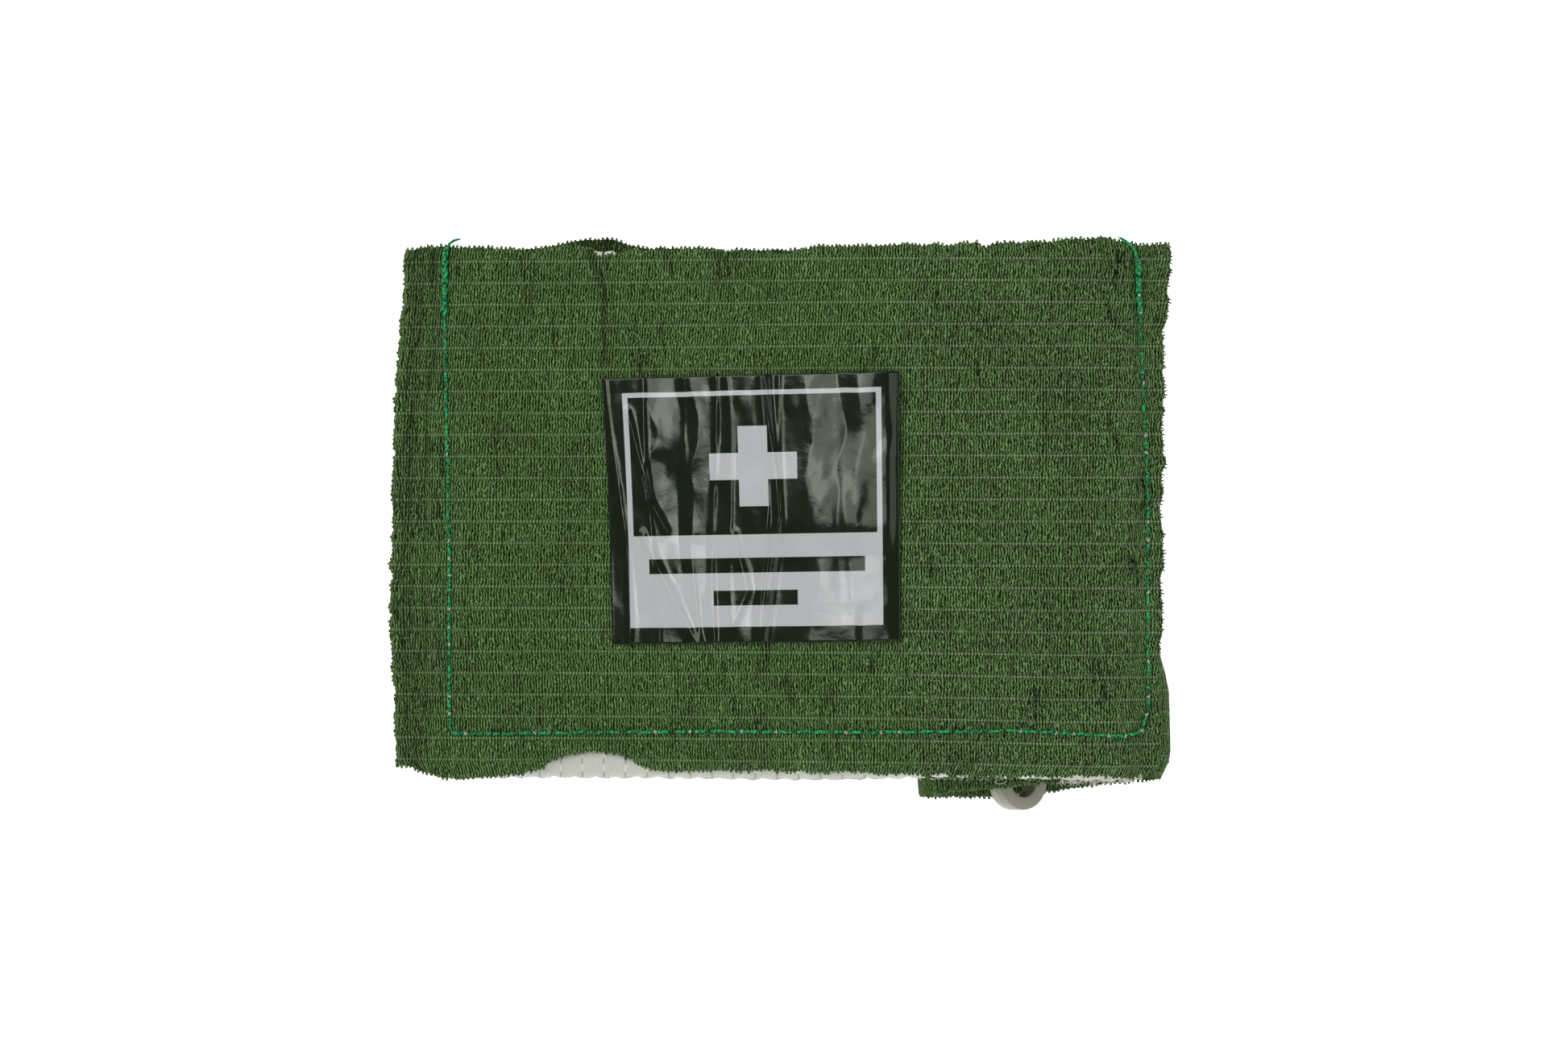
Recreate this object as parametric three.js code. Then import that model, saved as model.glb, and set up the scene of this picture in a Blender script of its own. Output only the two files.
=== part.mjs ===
// An emergency trauma bandage, lying as it comes out of its pouch. A knitted wrap is sewn over a white wound
// pad, folded back under it at the left, and wound round a plastic closure bar into a flat roll that lies
// under the right-hand third of the pad. A printed film label is stuck on the wrap.
// Millimetres. +X runs along the wrap from its fold to its cut end, +Y across it, and +Z up from the surface
// that it lies on.

import * as THREE from "three";

// The knitted wrap, one strip
const clothThickness = 0.8;
const wrapWidth = 100;
const panelLength = 145.3; // fold to cut end, seen from above
const edgeWander = 2.0; // the most that an edge leaves its straight line
const foldRadius = 1.2; // centre line of the fold at the left
const notchDepth = 4.2; // where the lower selvedge is drawn up and the pad shows
const notchHalfLength = 12.2;
const notchRound = 1.2; // 1 is a plain arch, more is softer at its ends
const peekHeight = 1.9; // where the layer behind the pad stands out past the upper selvedge
const peekHalfLength = 8.7;

// The wound tail
const rollWidth = 49.4;
const rollTurns = 3;
const coreRoundness = 1.6; // exponent of the core's section: 1 is a lozenge, 2 an ellipse, more is boxier
const rollRoundness = 2.7; // exponent of the outer turn's section
const rollYaw = THREE.MathUtils.degToRad(4.5);
const rollDrop = 2.0; // how far the roll has slipped towards the lower selvedge
const rollInset = 1.0; // from the cut end to the roll's right side, at the roll's middle
const drapeRun = 75; // over which the pad comes down from the roll to the surface
const shoulder = 6; // how far onto the roll that slope reaches
const telescope = 0.9; // the most that a turn stands out endways
const rollFlat = 0.25; // how far the roll's weight flattens its underside
const cutDroop = 1.8; // how far the pad's cut end sinks over the roll's right shoulder
const droopFrom = 0.35; // where it starts to sink, as a share of the roll's half width from its middle
const droopReach = 0.75;

// The wound pad
const padThickness = 5.5;
const padFromFold = 6.5;
const padFromCut = 1.8;
const padBelowWrap = 0.7; // how far its lower edge shows past the wrap
const padInsideWrap = 0.8; // how far its upper edge lies inside the wrap
const padChamfer = 1.2;
const foldTaper = 12; // over which the pad thins out towards the fold
const cutTaper = 10;
const cutFill = 0.45; // share of the pad's thickness left at the cut end
const selvedgeTaper = 4;
const selvedgeFill = 0.75;

// The seam that holds the wrap to the pad, along three sides
const seamFromFold = 10;
const seamFromCut = 3.6;
const seamFromSelvedge = 8;
const seamDip = 0.7;
const seamDipReach = 2.6;

// The closure bar
const barThickness = 2.5;
const barWidth = 4.4;
const hookRadius = 5.2; // outside of its round ends
const hookReach = 4.4; // how far each hook stands out of the roll
const hookReturn = 14; // length of the short leg
const barTilt = THREE.MathUtils.degToRad(32);
const barOffset = -5.3; // of the bar's middle from the roll's
const barChamfer = 0.6;

// The label
const labelThickness = 0.4;
const labelTopWidth = 56;
const labelBottomWidth = 54.1;
const labelHeight = 50.8;
const labelFromFold = 67.6; // to its middle
const labelAbove = 0.4; // of its middle, over the middle of the wrap
const labelTurn = THREE.MathUtils.degToRad(1.0);
const labelBuckle = 0.7; // height of its tallest pleat
const pleatHalfWidth = 1.7;

const gap = 0.3; // between pieces that touch

// How finely the curves are cut
const foldSteps = 6;
const backSteps = 22;
const stepsPerTurn = 24;
const tuckSteps = 5; // past the core's top, before the strip's inner end turns back
const turnBackSteps = 4;
const innerEndSteps = 6;
const hookSteps = 10;
const labelSteps = 16;
const slopeStations = [0.345, 0.445, 0.57, 0.61, 0.69, 0.73, 0.82]; // shares of the panel between the table's rows
const closestStations = 0.008; // a row nearer than this to a seam, the notch or the pad's end is left out

const pitch = clothThickness + gap;
const halfWrap = wrapWidth / 2;
const foldX = -panelLength / 2;
const cutX = panelLength / 2;

// How the fold and the cut end wander, as shares of edgeWander and outwards positive, up the panel from the
// lower selvedge at -1 to the upper one at 1.
const endWander = [
  { across: -1.0, fold: -0.5, cut: -0.7 },
  { across: -0.9, fold: -0.05, cut: -0.65 },
  { across: -0.66, fold: 0.15, cut: -0.55 },
  { across: -0.35, fold: 0.45, cut: -0.35 },
  { across: 0.0, fold: 0.25, cut: -0.25 },
  { across: 0.3, fold: 0.1, cut: -0.15 },
  { across: 0.55, fold: -0.25, cut: -0.2 },
  { across: 0.75, fold: -0.7, cut: 0.15 },
  { across: 0.9, fold: -0.9, cut: 0.5 },
  { across: 1.0, fold: -1.0, cut: 0.7 },
];

// How the selvedges wander, as shares of edgeWander and outwards positive, from the fold at 0 to the cut
// end at 1.
const selvedgeWander = [
  { along: 0.0, lower: -0.35, upper: 0.15 },
  { along: 0.02, lower: -0.05, upper: 0.25 },
  { along: 0.07, lower: 0.35, upper: 0.05 },
  { along: 0.16, lower: 0.05, upper: 0.0 },
  { along: 0.21, lower: 0.0, upper: 0.1 },
  { along: 0.255, lower: 0.0, upper: 0.0 },
  { along: 0.275, lower: 0.0, upper: -0.55 },
  { along: 0.3, lower: -0.1, upper: -0.25 },
  { along: 0.38, lower: -0.25, upper: -0.15 },
  { along: 0.41, lower: -0.25, upper: -0.45 },
  { along: 0.48, lower: -0.35, upper: -1.1 },
  { along: 0.53, lower: -0.3, upper: -0.3 },
  { along: 0.65, lower: -0.15, upper: -0.15 },
  { along: 0.77, lower: 0.1, upper: 0.1 },
  { along: 0.87, lower: 0.0, upper: 0.35 },
  { along: 0.93, lower: -0.1, upper: 0.4 },
  { along: 0.955, lower: -0.1, upper: -0.2 },
  { along: 1.0, lower: -0.6, upper: -0.05 },
];
const notchAlong = 0.2557; // middle of the notch, as a share of the panel

// How far each turn of the roll stands out towards the lower selvedge, as shares of telescope, from the core
// at 0 to the outside at 1.
const turnSlip = [
  { turn: 0, slip: -0.6 },
  { turn: 0.25, slip: 0.7 },
  { turn: 0.5, slip: 0.1 },
  { turn: 0.75, slip: 1.0 },
  { turn: 1, slip: 0 },
];

// The label's pleats, as shares of its width from the left and of labelBuckle.
const labelPleats = [
  { across: 0.15, rise: 0.45 },
  { across: 0.36, rise: 0.7 },
  { across: 0.5, rise: 0.4 },
  { across: 0.57, rise: 1.0 },
  { across: 0.8, rise: 0.35 },
];

const clamp01 = (t) => Math.min(1, Math.max(0, t));
const lerp = THREE.MathUtils.lerp;

// 0 up to 0, 1 from 1 on, and level at both ends.
function ease(t) {
  const c = clamp01(t);
  return c * c * (3 - 2 * c);
}

// A bell that is 1 at 0 and reaches 0 at 1 and -1.
function bell(t) {
  return Math.abs(t) < 1 ? (1 - t * t) ** 2 : 0;
}

// Reads a column of a table at a value of its key column, along straight lines between the rows.
function readTable(table, key, at, column) {
  if (at <= table[0][key]) return table[0][column];
  for (let i = 1; i < table.length; i += 1) {
    const [before, after] = [table[i - 1], table[i]];
    if (at <= after[key]) {
      const share = (at - before[key]) / (after[key] - before[key]);
      return lerp(before[column], after[column], share);
    }
  }
  return table[table.length - 1][column];
}

// The turns lie close, so the core is the roll less its turns. It is highest over the bar, whose corners say how
// high, and it narrows towards the roll's two sides.
const rollHalfWidth = rollWidth / 2 - clothThickness / 2;
const coreHalfWidth = rollHalfWidth - pitch * rollTurns;
const coreClearance = gap + clothThickness / 2;
const nearSide = coreHalfWidth - Math.abs(barOffset) - coreClearance;
const barCorners = [1, -1].map((side) => ({
  across: hookRadius * Math.cos(barTilt) - side * (barWidth / 2) * Math.sin(barTilt),
  up: hookRadius * Math.sin(barTilt) + side * (barWidth / 2) * Math.cos(barTilt),
}));
const roomOver = ({ across, up }) =>
  Math.max(0, up) / (1 - (across / nearSide) ** coreRoundness) ** (1 / coreRoundness);
const coreHalfHeight = Math.max(...barCorners.map(roomOver)) + coreClearance;
const rollHalfHeight = coreHalfHeight + pitch * rollTurns;
const rollCentre = {
  x: cutX - rollInset - rollWidth / 2,
  y: -rollDrop,
  z: rollHalfHeight - pitch / 2 - rollFlat + clothThickness / 2,
};
const rollTop = rollCentre.z + rollHalfHeight - clothThickness / 2;
const drapeEnd = shoulder - rollHalfWidth; // measured in the roll's frame, from its middle

// How high the surface that carries the layer behind the pad is: level on the ground, up a slope onto the
// roll, and down a little at the roll's right shoulder.
function lift(x, y) {
  const across =
    (x - rollCentre.x) * Math.cos(rollYaw) +
    (y - rollCentre.y) * Math.sin(rollYaw);
  const droop = ease((across / rollHalfWidth - droopFrom) / droopReach);
  return rollTop * ease((across - drapeEnd) / drapeRun + 1) - cutDroop * droop;
}

const foldEdge = (y) =>
  foldX - edgeWander * readTable(endWander, "across", y / halfWrap, "fold");
const cutEdge = (y) =>
  cutX + edgeWander * readTable(endWander, "across", y / halfWrap, "cut");
const foldStart = (y) => foldEdge(y) + foldRadius + clothThickness / 2;
const padLowY = -halfWrap - padBelowWrap;
const padHighY = halfWrap - padInsideWrap;
const seamY = seamFromSelvedge - halfWrap;
const foldFill =
  (2 * foldRadius - clothThickness - 2 * gap) / padThickness; // where the panel meets the fold

// The share of its full thickness that the pad has at a point: thinner at every edge, and pressed in along
// the seam.
function padFill(x, y) {
  const fromFold = x - foldStart(y);
  const fromCut = cutEdge(y) - x;
  const fromSelvedge = Math.min(y - padLowY, padHighY - y);
  const ends =
    lerp(foldFill, 1, ease(fromFold / foldTaper)) *
    lerp(cutFill, 1, ease(fromCut / cutTaper));
  const sides = lerp(selvedgeFill, 1, ease(fromSelvedge / selvedgeTaper));
  const sideSeams =
    y > seamY
      ? bell((x - foldEdge(y) - seamFromFold) / seamDipReach) +
        bell((fromCut - seamFromCut) / seamDipReach)
      : 0;
  const dip = Math.max(bell((y - seamY) / seamDipReach), sideSeams);
  const nearFold = ease(fromFold / seamFromFold); // no dip reaches the fold
  return ends * lerp(1, sides, nearFold) - (seamDip / padThickness) * dip * nearFold;
}

const padUnder = (x, y) => lift(x, y) + clothThickness + gap;
const padTop = (x, y) => padUnder(x, y) + padThickness * padFill(x, y);
const panelUnder = (x, y) => padTop(x, y) + gap;
const panelTop = (x, y) => panelUnder(x, y) + clothThickness;

// The rows that run the length of the wrap. Its two selvedges are added to them at each station.
const innerRows = [
  seamY - seamDipReach,
  seamY,
  seamY + seamDipReach,
  halfWrap * -0.6,
  halfWrap * -0.36,
  halfWrap * -0.12,
  halfWrap * 0.12,
  halfWrap * 0.36,
  halfWrap * 0.6,
  halfWrap * 0.8,
  halfWrap * 0.92,
];

const padStart = (padFromFold - foldRadius) / panelLength;
const padEnd = 1 - padFromCut / panelLength;

// Shares of the panel's length at which it is measured: every row of the table, the notch, the seams and the
// pad's ends.
function panelStations() {
  const seams = [
    (seamFromFold - seamDipReach) / panelLength,
    seamFromFold / panelLength,
    (seamFromFold + seamDipReach) / panelLength,
    1 - (seamFromCut + seamDipReach) / panelLength,
    1 - seamFromCut / panelLength,
  ];
  const notch = [-1, -0.75, -0.5, -0.25, 0, 0.25, 0.5, 0.75, 1].map(
    (t) => notchAlong + (t * notchHalfLength) / panelLength,
  );
  const kept = [padStart, padEnd, ...seams, ...notch];
  const others = [...selvedgeWander.map((row) => row.along), ...slopeStations];
  const isApart = (s) => kept.every((k) => Math.abs(k - s) > closestStations);
  const added = others.filter((s) => s === 0 || s === 1 || isApart(s));
  return [...new Set([...kept, ...added])]
    .filter((s) => s >= 0 && s <= 1)
    .sort((a, b) => a - b);
}
const stations = panelStations();

// Where the panel is at a share of its length and a place across it, seen from above.
function panelX(share, y) {
  return lerp(foldStart(y), cutEdge(y), share);
}

function lowerSelvedge(share) {
  const off = ((share - notchAlong) * panelLength) / notchHalfLength;
  const drawnUp = notchDepth * Math.max(0, 1 - off * off) ** notchRound;
  return (
    -halfWrap -
    edgeWander * readTable(selvedgeWander, "along", share, "lower") +
    drawnUp
  );
}

function upperSelvedge(share) {
  return halfWrap + edgeWander * readTable(selvedgeWander, "along", share, "upper");
}

// A closed solid through rings of equal length. A ring's first half is one face and its second half,
// backwards, the other, so that the ends are closed by joining the halves.
function loft(rings) {
  const size = rings[0].length;
  const positions = rings.flat().flatMap((p) => [p.x, p.y, p.z]);
  const faces = [];
  const addQuad = (a, b, c, d) => faces.push(a, b, c, a, c, d);
  for (let i = 0; i + 1 < rings.length; i += 1) {
    for (let j = 0; j < size; j += 1) {
      const next = (j + 1) % size;
      addQuad(i * size + j, i * size + next, (i + 1) * size + next, (i + 1) * size + j);
    }
  }
  const last = (rings.length - 1) * size;
  for (let j = 0; j + 1 < size / 2; j += 1) {
    addQuad(size - 1 - j, size - 2 - j, j + 1, j);
    addQuad(last + j, last + j + 1, last + size - 2 - j, last + size - 1 - j);
  }
  if (signedVolume(positions, faces) < 0) faces.reverse();
  const geometry = new THREE.BufferGeometry();
  geometry.setAttribute(
    "position",
    new THREE.Float32BufferAttribute(positions, 3),
  );
  geometry.setIndex(faces);
  geometry.computeVertexNormals();
  return geometry;
}

function signedVolume(positions, faces) {
  const corner = (i) => new THREE.Vector3().fromArray(positions, 3 * faces[i]);
  let volume = 0;
  for (let i = 0; i < faces.length; i += 3) {
    volume += corner(i).dot(corner(i + 1).cross(corner(i + 2))) / 6;
  }
  return volume;
}

// A ring round a strip of cloth: its middle surface is moved half the cloth's thickness each way along the
// normal.
function clothRing(low, high, middleAt, normalAt) {
  const rows = [low, ...innerRows, high];
  const side = (sign) =>
    rows.map((y) =>
      middleAt(y).addScaledVector(normalAt(y), (sign * clothThickness) / 2),
    );
  return [...side(1), ...side(-1).reverse()];
}

// The panel, from its cut end to the fold.
function panelRings() {
  const up = new THREE.Vector3(0, 0, 1);
  return [...stations].reverse().map((share) => {
    const middleAt = (y) => {
      const x = panelX(share, y);
      return new THREE.Vector3(x, y, panelUnder(x, y) + clothThickness / 2);
    };
    return clothRing(
      lowerSelvedge(share),
      upperSelvedge(share),
      middleAt,
      () => up,
    );
  });
}

// The fold at the left, a half circle from the panel down to the layer behind the pad.
function foldRings() {
  const rings = [];
  for (let i = 1; i < foldSteps; i += 1) {
    const angle = Math.PI * (0.5 + i / foldSteps);
    const normal = new THREE.Vector3(Math.cos(angle), 0, Math.sin(angle));
    const middleAt = (y) =>
      new THREE.Vector3(
        foldStart(y) + foldRadius * normal.x,
        y,
        foldRadius + clothThickness / 2 + foldRadius * normal.z,
      );
    const low = lerp(lowerSelvedge(0), -halfWrap, i / foldSteps);
    const high = lerp(upperSelvedge(0), halfWrap, i / foldSteps);
    rings.push(clothRing(low, high, middleAt, () => normal));
  }
  return rings;
}

// The layer behind the pad, from the fold to the top of the roll, where it turns and slips with the roll.
function backRings() {
  const down = new THREE.Vector3(0, 0, -1);
  const rings = [];
  for (let i = 0; i < backSteps; i += 1) {
    const placeAt = (y) => {
      const along = lerp(foldStart(y), rollCentre.x, i / backSteps);
      const out = along - rollCentre.x;
      const turned = ease(out / rollHalfWidth + 1);
      const yaw = rollYaw * turned;
      const x = rollCentre.x + out * Math.cos(yaw) - y * Math.sin(yaw);
      const across = rollCentre.y * turned + out * Math.sin(yaw) + y * Math.cos(yaw);
      return new THREE.Vector3(x, across, lift(x, across) + clothThickness / 2);
    };
    const along = lerp(foldX, rollCentre.x, i / backSteps);
    const peekMiddle = lerp(foldX, cutX, notchAlong);
    const peek = peekHeight * bell((along - peekMiddle) / peekHalfLength);
    rings.push(clothRing(-halfWrap, halfWrap + peek, placeAt, () => down));
  }
  return rings;
}

// A point of the roll's spiral, in the roll's own frame, at a number of turns counted out from the core.
function spiralAt(turn) {
  const share = turn / rollTurns;
  const power = 2 / lerp(coreRoundness, rollRoundness, share);
  const angle = Math.PI / 2 + 2 * Math.PI * turn;
  const bend = (value) => Math.sign(value) * Math.abs(value) ** power;
  const highest = barOffset * (1 - share); // where the section is highest
  const side = coreHalfWidth + pitch * turn - highest * Math.sign(Math.cos(angle));
  const halfHeight = coreHalfHeight + pitch * turn;
  const lowest = rollFlat - coreHalfHeight - pitch * (Math.floor(turn) + 0.5);
  return new THREE.Vector2(
    highest + side * bend(Math.cos(angle)),
    Math.max(lowest, halfHeight * bend(Math.sin(angle))),
  );
}

// The roll's path in its own frame, from its outer turn in to the strip's inner end. That end turns back at the
// core's right side and lies flat across the core, up to the bar.
function rollPath() {
  const path = [];
  for (let i = stepsPerTurn * rollTurns; i >= -tuckSteps; i -= 1) {
    path.push({ point: spiralAt(i / stepsPerTurn), turn: i / stepsPerTurn });
  }
  const corner = path[path.length - 1].point;
  const radius = Math.min(corner.y, coreHalfWidth - pitch / 4 - corner.x);
  const level = corner.y - 2 * radius;
  for (let i = 1; i <= turnBackSteps; i += 1) {
    const angle = Math.PI * (0.5 - i / turnBackSteps);
    const x = corner.x + radius * Math.cos(angle);
    path.push({ point: new THREE.Vector2(x, level + radius * (1 + Math.sin(angle))), turn: 0 });
  }
  const barSide = hookRadius * Math.cos(barTilt) + (barWidth / 2) * Math.sin(barTilt);
  const endX = barOffset + barSide + coreClearance;
  for (let i = 1; i <= innerEndSteps; i += 1) {
    const x = lerp(corner.x, endX, i / innerEndSteps);
    path.push({ point: new THREE.Vector2(x, level), turn: 0 });
  }
  return path;
}

function rollRings() {
  const path = rollPath();
  return path.map(({ point, turn }, i) => {
    const before = path[Math.max(0, i - 1)].point;
    const after = path[Math.min(path.length - 1, i + 1)].point;
    const way = i > 0 ? after.clone().sub(before).normalize() : new THREE.Vector2(1, 0);
    const slip = telescope * readTable(turnSlip, "turn", turn / rollTurns, "slip");
    const normal = new THREE.Vector3(
      way.y * Math.cos(rollYaw),
      way.y * Math.sin(rollYaw),
      -way.x,
    );
    const middleAt = (y) =>
      new THREE.Vector3(
        rollCentre.x + point.x * Math.cos(rollYaw) - (y - slip) * Math.sin(rollYaw),
        rollCentre.y + point.x * Math.sin(rollYaw) + (y - slip) * Math.cos(rollYaw),
        rollCentre.z + point.y,
      );
    return clothRing(-halfWrap, halfWrap, middleAt, () => normal);
  });
}

// The pad: its rows lie under the panel's, and its long edges are chamfered above and below.
function padRings() {
  const rows = [
    padLowY,
    padLowY + padChamfer,
    ...innerRows,
    padHighY - padChamfer,
    padHighY,
  ];
  return stations
    .filter((share) => share >= padStart && share <= padEnd)
    .map((share) => {
      const pointAt = (y, level) => {
        const x = panelX(share, y);
        const thick = padThickness * padFill(x, y);
        const onEdge = y === padLowY || y === padHighY;
        const inset = onEdge ? Math.min(padChamfer, thick / 3) : 0;
        const z = padUnder(x, y) + (level ? thick - inset : inset);
        return new THREE.Vector3(x, y, z);
      };
      return [
        ...rows.map((y) => pointAt(y, 1)),
        ...[...rows].reverse().map((y) => pointAt(y, 0)),
      ];
    });
}

// The label, a thin sheet over the panel that buckles up in a few upright pleats.
function labelRings() {
  const columns = [];
  for (let i = 0; i <= labelSteps; i += 1) columns.push(i / labelSteps);
  for (const pleat of labelPleats) {
    const reach = pleatHalfWidth / labelTopWidth;
    columns.push(pleat.across - reach, pleat.across, pleat.across + reach);
  }
  columns.sort((a, b) => a - b);
  const rows = [0, 0.15, 0.35, 0.5, 0.65, 0.85, 1];
  const middle = { x: foldX + labelFromFold, y: labelAbove };
  return columns.map((column) => {
    const rise = labelPleats.reduce((sum, pleat) => {
      const off = (column - pleat.across) * labelTopWidth;
      return sum + labelBuckle * pleat.rise * bell(off / pleatHalfWidth);
    }, 0);
    const pointAt = (row, level) => {
      const width = lerp(labelBottomWidth, labelTopWidth, row);
      const flat = new THREE.Vector2(
        (column - 1) * width + labelTopWidth / 2,
        (row - 0.5) * labelHeight,
      ).rotateAround(new THREE.Vector2(0, 0), labelTurn);
      const x = middle.x + flat.x;
      const y = middle.y + flat.y;
      const z = panelTop(x, y) + gap + rise + level * labelThickness;
      return new THREE.Vector3(x, y, z);
    };
    return [
      ...rows.map((row) => pointAt(row, 1)),
      ...[...rows].reverse().map((row) => pointAt(row, 0)),
    ];
  });
}

// The closure bar in its own plane: X across its two legs, Y along it. Its ends bend round into short return
// legs.
function barRings() {
  const bend = hookRadius - barThickness / 2;
  const endY = wrapWidth / 2 + hookReach - hookRadius;
  const line = [];
  const addArc = (centreY, from, to) => {
    for (let i = 0; i <= hookSteps; i += 1) {
      const angle = lerp(from, to, i / hookSteps);
      line.push({
        x: bend * Math.cos(angle),
        y: centreY + bend * Math.sin(angle),
        angle,
      });
    }
  };
  line.push({ x: bend, y: hookReturn - endY, angle: 0, size: 0.5 });
  line.push({ x: bend, y: hookReturn - endY - barThickness / 2, angle: 0 });
  addArc(-endY, 0, -Math.PI);
  addArc(endY, Math.PI, 0);
  line.push({ x: bend, y: endY - hookReturn + barThickness / 2, angle: 0 });
  line.push({ x: bend, y: endY - hookReturn, angle: 0, size: 0.5 });
  return line.map(({ x, y, angle, size = 1 }) => {
    const out = (barThickness / 2) * size;
    const half = (barWidth / 2) * size;
    const cut = barChamfer * size;
    const corners = [
      [-out, half - cut],
      [-out + cut, half],
      [out - cut, half],
      [out, half - cut],
      [out, -half + cut],
      [out - cut, -half],
      [-out + cut, -half],
      [-out, -half + cut],
    ];
    return corners.map(
      ([along, up]) =>
        new THREE.Vector3(
          x + along * Math.cos(angle),
          y + along * Math.sin(angle),
          up,
        ),
    );
  });
}

function makeMesh(name, rings, color, roughness) {
  const material = new THREE.MeshStandardMaterial({
    color,
    roughness,
    metalness: 0,
  });
  const mesh = new THREE.Mesh(loft(rings), material);
  mesh.name = name;
  return mesh;
}

const wrapRings = [
  ...panelRings(),
  ...foldRings(),
  ...backRings(),
  ...rollRings(),
];
const elasticWrap = makeMesh("elastic_wrap", wrapRings, 0x42592f, 0.95);
const woundPad = makeMesh("wound_pad", padRings(), 0xc6c8bd, 0.9);
const label = makeMesh("label", labelRings(), 0x1c2418, 0.25);

// The bar rides in the roll's frame, turned about its own length.
const closureBar = makeMesh("closure_bar", barRings(), 0xb4b09c, 0.45);
closureBar.rotation.y = barTilt;
closureBar.position.x = barOffset;
const roll = new THREE.Group();
roll.position.set(rollCentre.x, rollCentre.y, rollCentre.z);
roll.rotation.z = rollYaw;
roll.add(closureBar);

// The bandage, moved so that the middle of its footprint is at the origin.
const bandage = new THREE.Group();
bandage.add(elasticWrap, woundPad, label, roll);
const bounds = new THREE.Box3().setFromObject(bandage, true);
bandage.position.set(
  -(bounds.min.x + bounds.max.x) / 2,
  -(bounds.min.y + bounds.max.y) / 2,
  -bounds.min.z,
);

export default bandage;
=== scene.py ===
"""Dresses an emergency trauma bandage: crinkled green wrap, quilted pad, thread, film label and closure bar.

Shapes are worked out in millimetres in the wrap's own frame, whose X runs from the fold to the cut end and whose
Y runs across the wrap, and are moved to the frame's metres when a mesh is made.
"""

import logging
import math
from dataclasses import dataclass, field
from enum import Enum
from typing import Callable, NamedTuple, Optional, Sequence, Union

import bpy
import numpy as np
from mathutils import Matrix, Vector


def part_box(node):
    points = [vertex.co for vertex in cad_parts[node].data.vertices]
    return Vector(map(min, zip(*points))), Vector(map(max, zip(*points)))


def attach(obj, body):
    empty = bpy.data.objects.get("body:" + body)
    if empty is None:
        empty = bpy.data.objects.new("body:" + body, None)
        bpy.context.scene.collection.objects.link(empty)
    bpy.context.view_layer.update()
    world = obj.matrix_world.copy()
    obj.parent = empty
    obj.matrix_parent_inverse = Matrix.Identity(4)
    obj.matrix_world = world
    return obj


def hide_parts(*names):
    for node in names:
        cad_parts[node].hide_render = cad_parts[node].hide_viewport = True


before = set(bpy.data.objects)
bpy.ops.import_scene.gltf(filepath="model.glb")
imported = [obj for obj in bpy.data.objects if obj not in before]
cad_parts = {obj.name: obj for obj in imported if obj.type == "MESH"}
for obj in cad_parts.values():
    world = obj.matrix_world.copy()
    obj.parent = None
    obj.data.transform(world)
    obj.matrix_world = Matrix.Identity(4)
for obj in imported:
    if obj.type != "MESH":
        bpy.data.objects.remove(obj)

log = logging.getLogger("bandage")
MM = 0.001
TINY = 1e-12
Grid = np.ndarray
Pair = tuple[float, float]


def ease(t: Grid) -> Grid:
    """Returns 0 up to 0 and 1 from 1 on, level at both ends."""
    c = np.clip(t, 0.0, 1.0)
    return c * c * (3.0 - 2.0 * c)


def bell(t: Grid) -> Grid:
    """Returns a bump that is 1 at 0 and gone at 1 and -1."""
    return np.clip(1.0 - np.square(t), 0.0, None) ** 2


def mound(off: Grid, half: float) -> Grid:
    """Returns a bump that is 1 at 0 and fades out beyond its half width."""
    return np.exp(-np.square(off / half))


def quarter(t: Grid) -> Grid:
    """Returns a quarter circle's height, from 0 at 0 to 1 from 1 on."""
    return np.sqrt(np.clip(1 - (1 - np.clip(t, 0, 1)) ** 2, 0, 1))


def blend(a: Grid, b: Grid, share: Grid) -> Grid:
    """Returns a at share 0 and b at share 1."""
    return a + (b - a) * share


def noise(x: Grid, y: Grid, seed: int) -> Grid:
    """Smooth noise over a lattice of whole numbers.

    Args:
        x: Places along the first axis, in lattice steps.
        y: Places along the second axis, in lattice steps.
        seed: Picks one of many patterns.

    Returns:
        Values from -1 to 1, the same each run.
    """
    x, y = np.broadcast_arrays(np.asarray(x, float), np.asarray(y, float))
    column, row = np.floor(x), np.floor(y)
    across, up = ease(x - column), ease(y - row)

    def corner(i: int, j: int) -> Grid:
        """Returns the lattice's value at one corner, from the usual sine hash."""
        value = np.sin((column + i) * 127.1 + (row + j) * 311.7 + seed * 74.7) * 43758.5453
        return 2.0 * (value - np.floor(value)) - 1.0

    return blend(blend(corner(0, 0), corner(1, 0), across), blend(corner(0, 1), corner(1, 1), across), up)


def from_line(x: Grid, y: Grid, line: Sequence[Pair]) -> Grid:
    """Returns how far each point lies from a line of straight stretches."""
    nearest = np.full(np.broadcast(x, y).shape, np.inf)
    for (x0, y0), (x1, y1) in zip(line, line[1:]):
        run, rise = x1 - x0, y1 - y0
        share = np.clip(((x - x0) * run + (y - y0) * rise) / (run * run + rise * rise), 0.0, 1.0)
        nearest = np.minimum(nearest, np.hypot(x - x0 - share * run, y - y0 - share * rise))
    return nearest


def distances(path: Grid) -> Grid:
    """Returns how far along a path each of its points lies."""
    return np.concatenate([[0.0], np.cumsum(np.linalg.norm(np.diff(path, axis=0), axis=1))])


def on_path(at: Grid, run: Grid, path: Grid) -> Grid:
    """Returns a path's points at given distances, where run holds the distances of its own points."""
    return np.stack([np.interp(at, run, axis) for axis in path.T], 1)


class Ripple(NamedTuple):
    """Smooth noise: its height, the length of its waves along and across the wrap, and its pattern's seed."""

    height: float
    along: float
    across: float
    seed: int

    def at(self, x: Grid, y: Grid) -> Grid:
        """Returns its height at a point."""
        return self.height * noise(x / self.along, y / self.across, self.seed)


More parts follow.
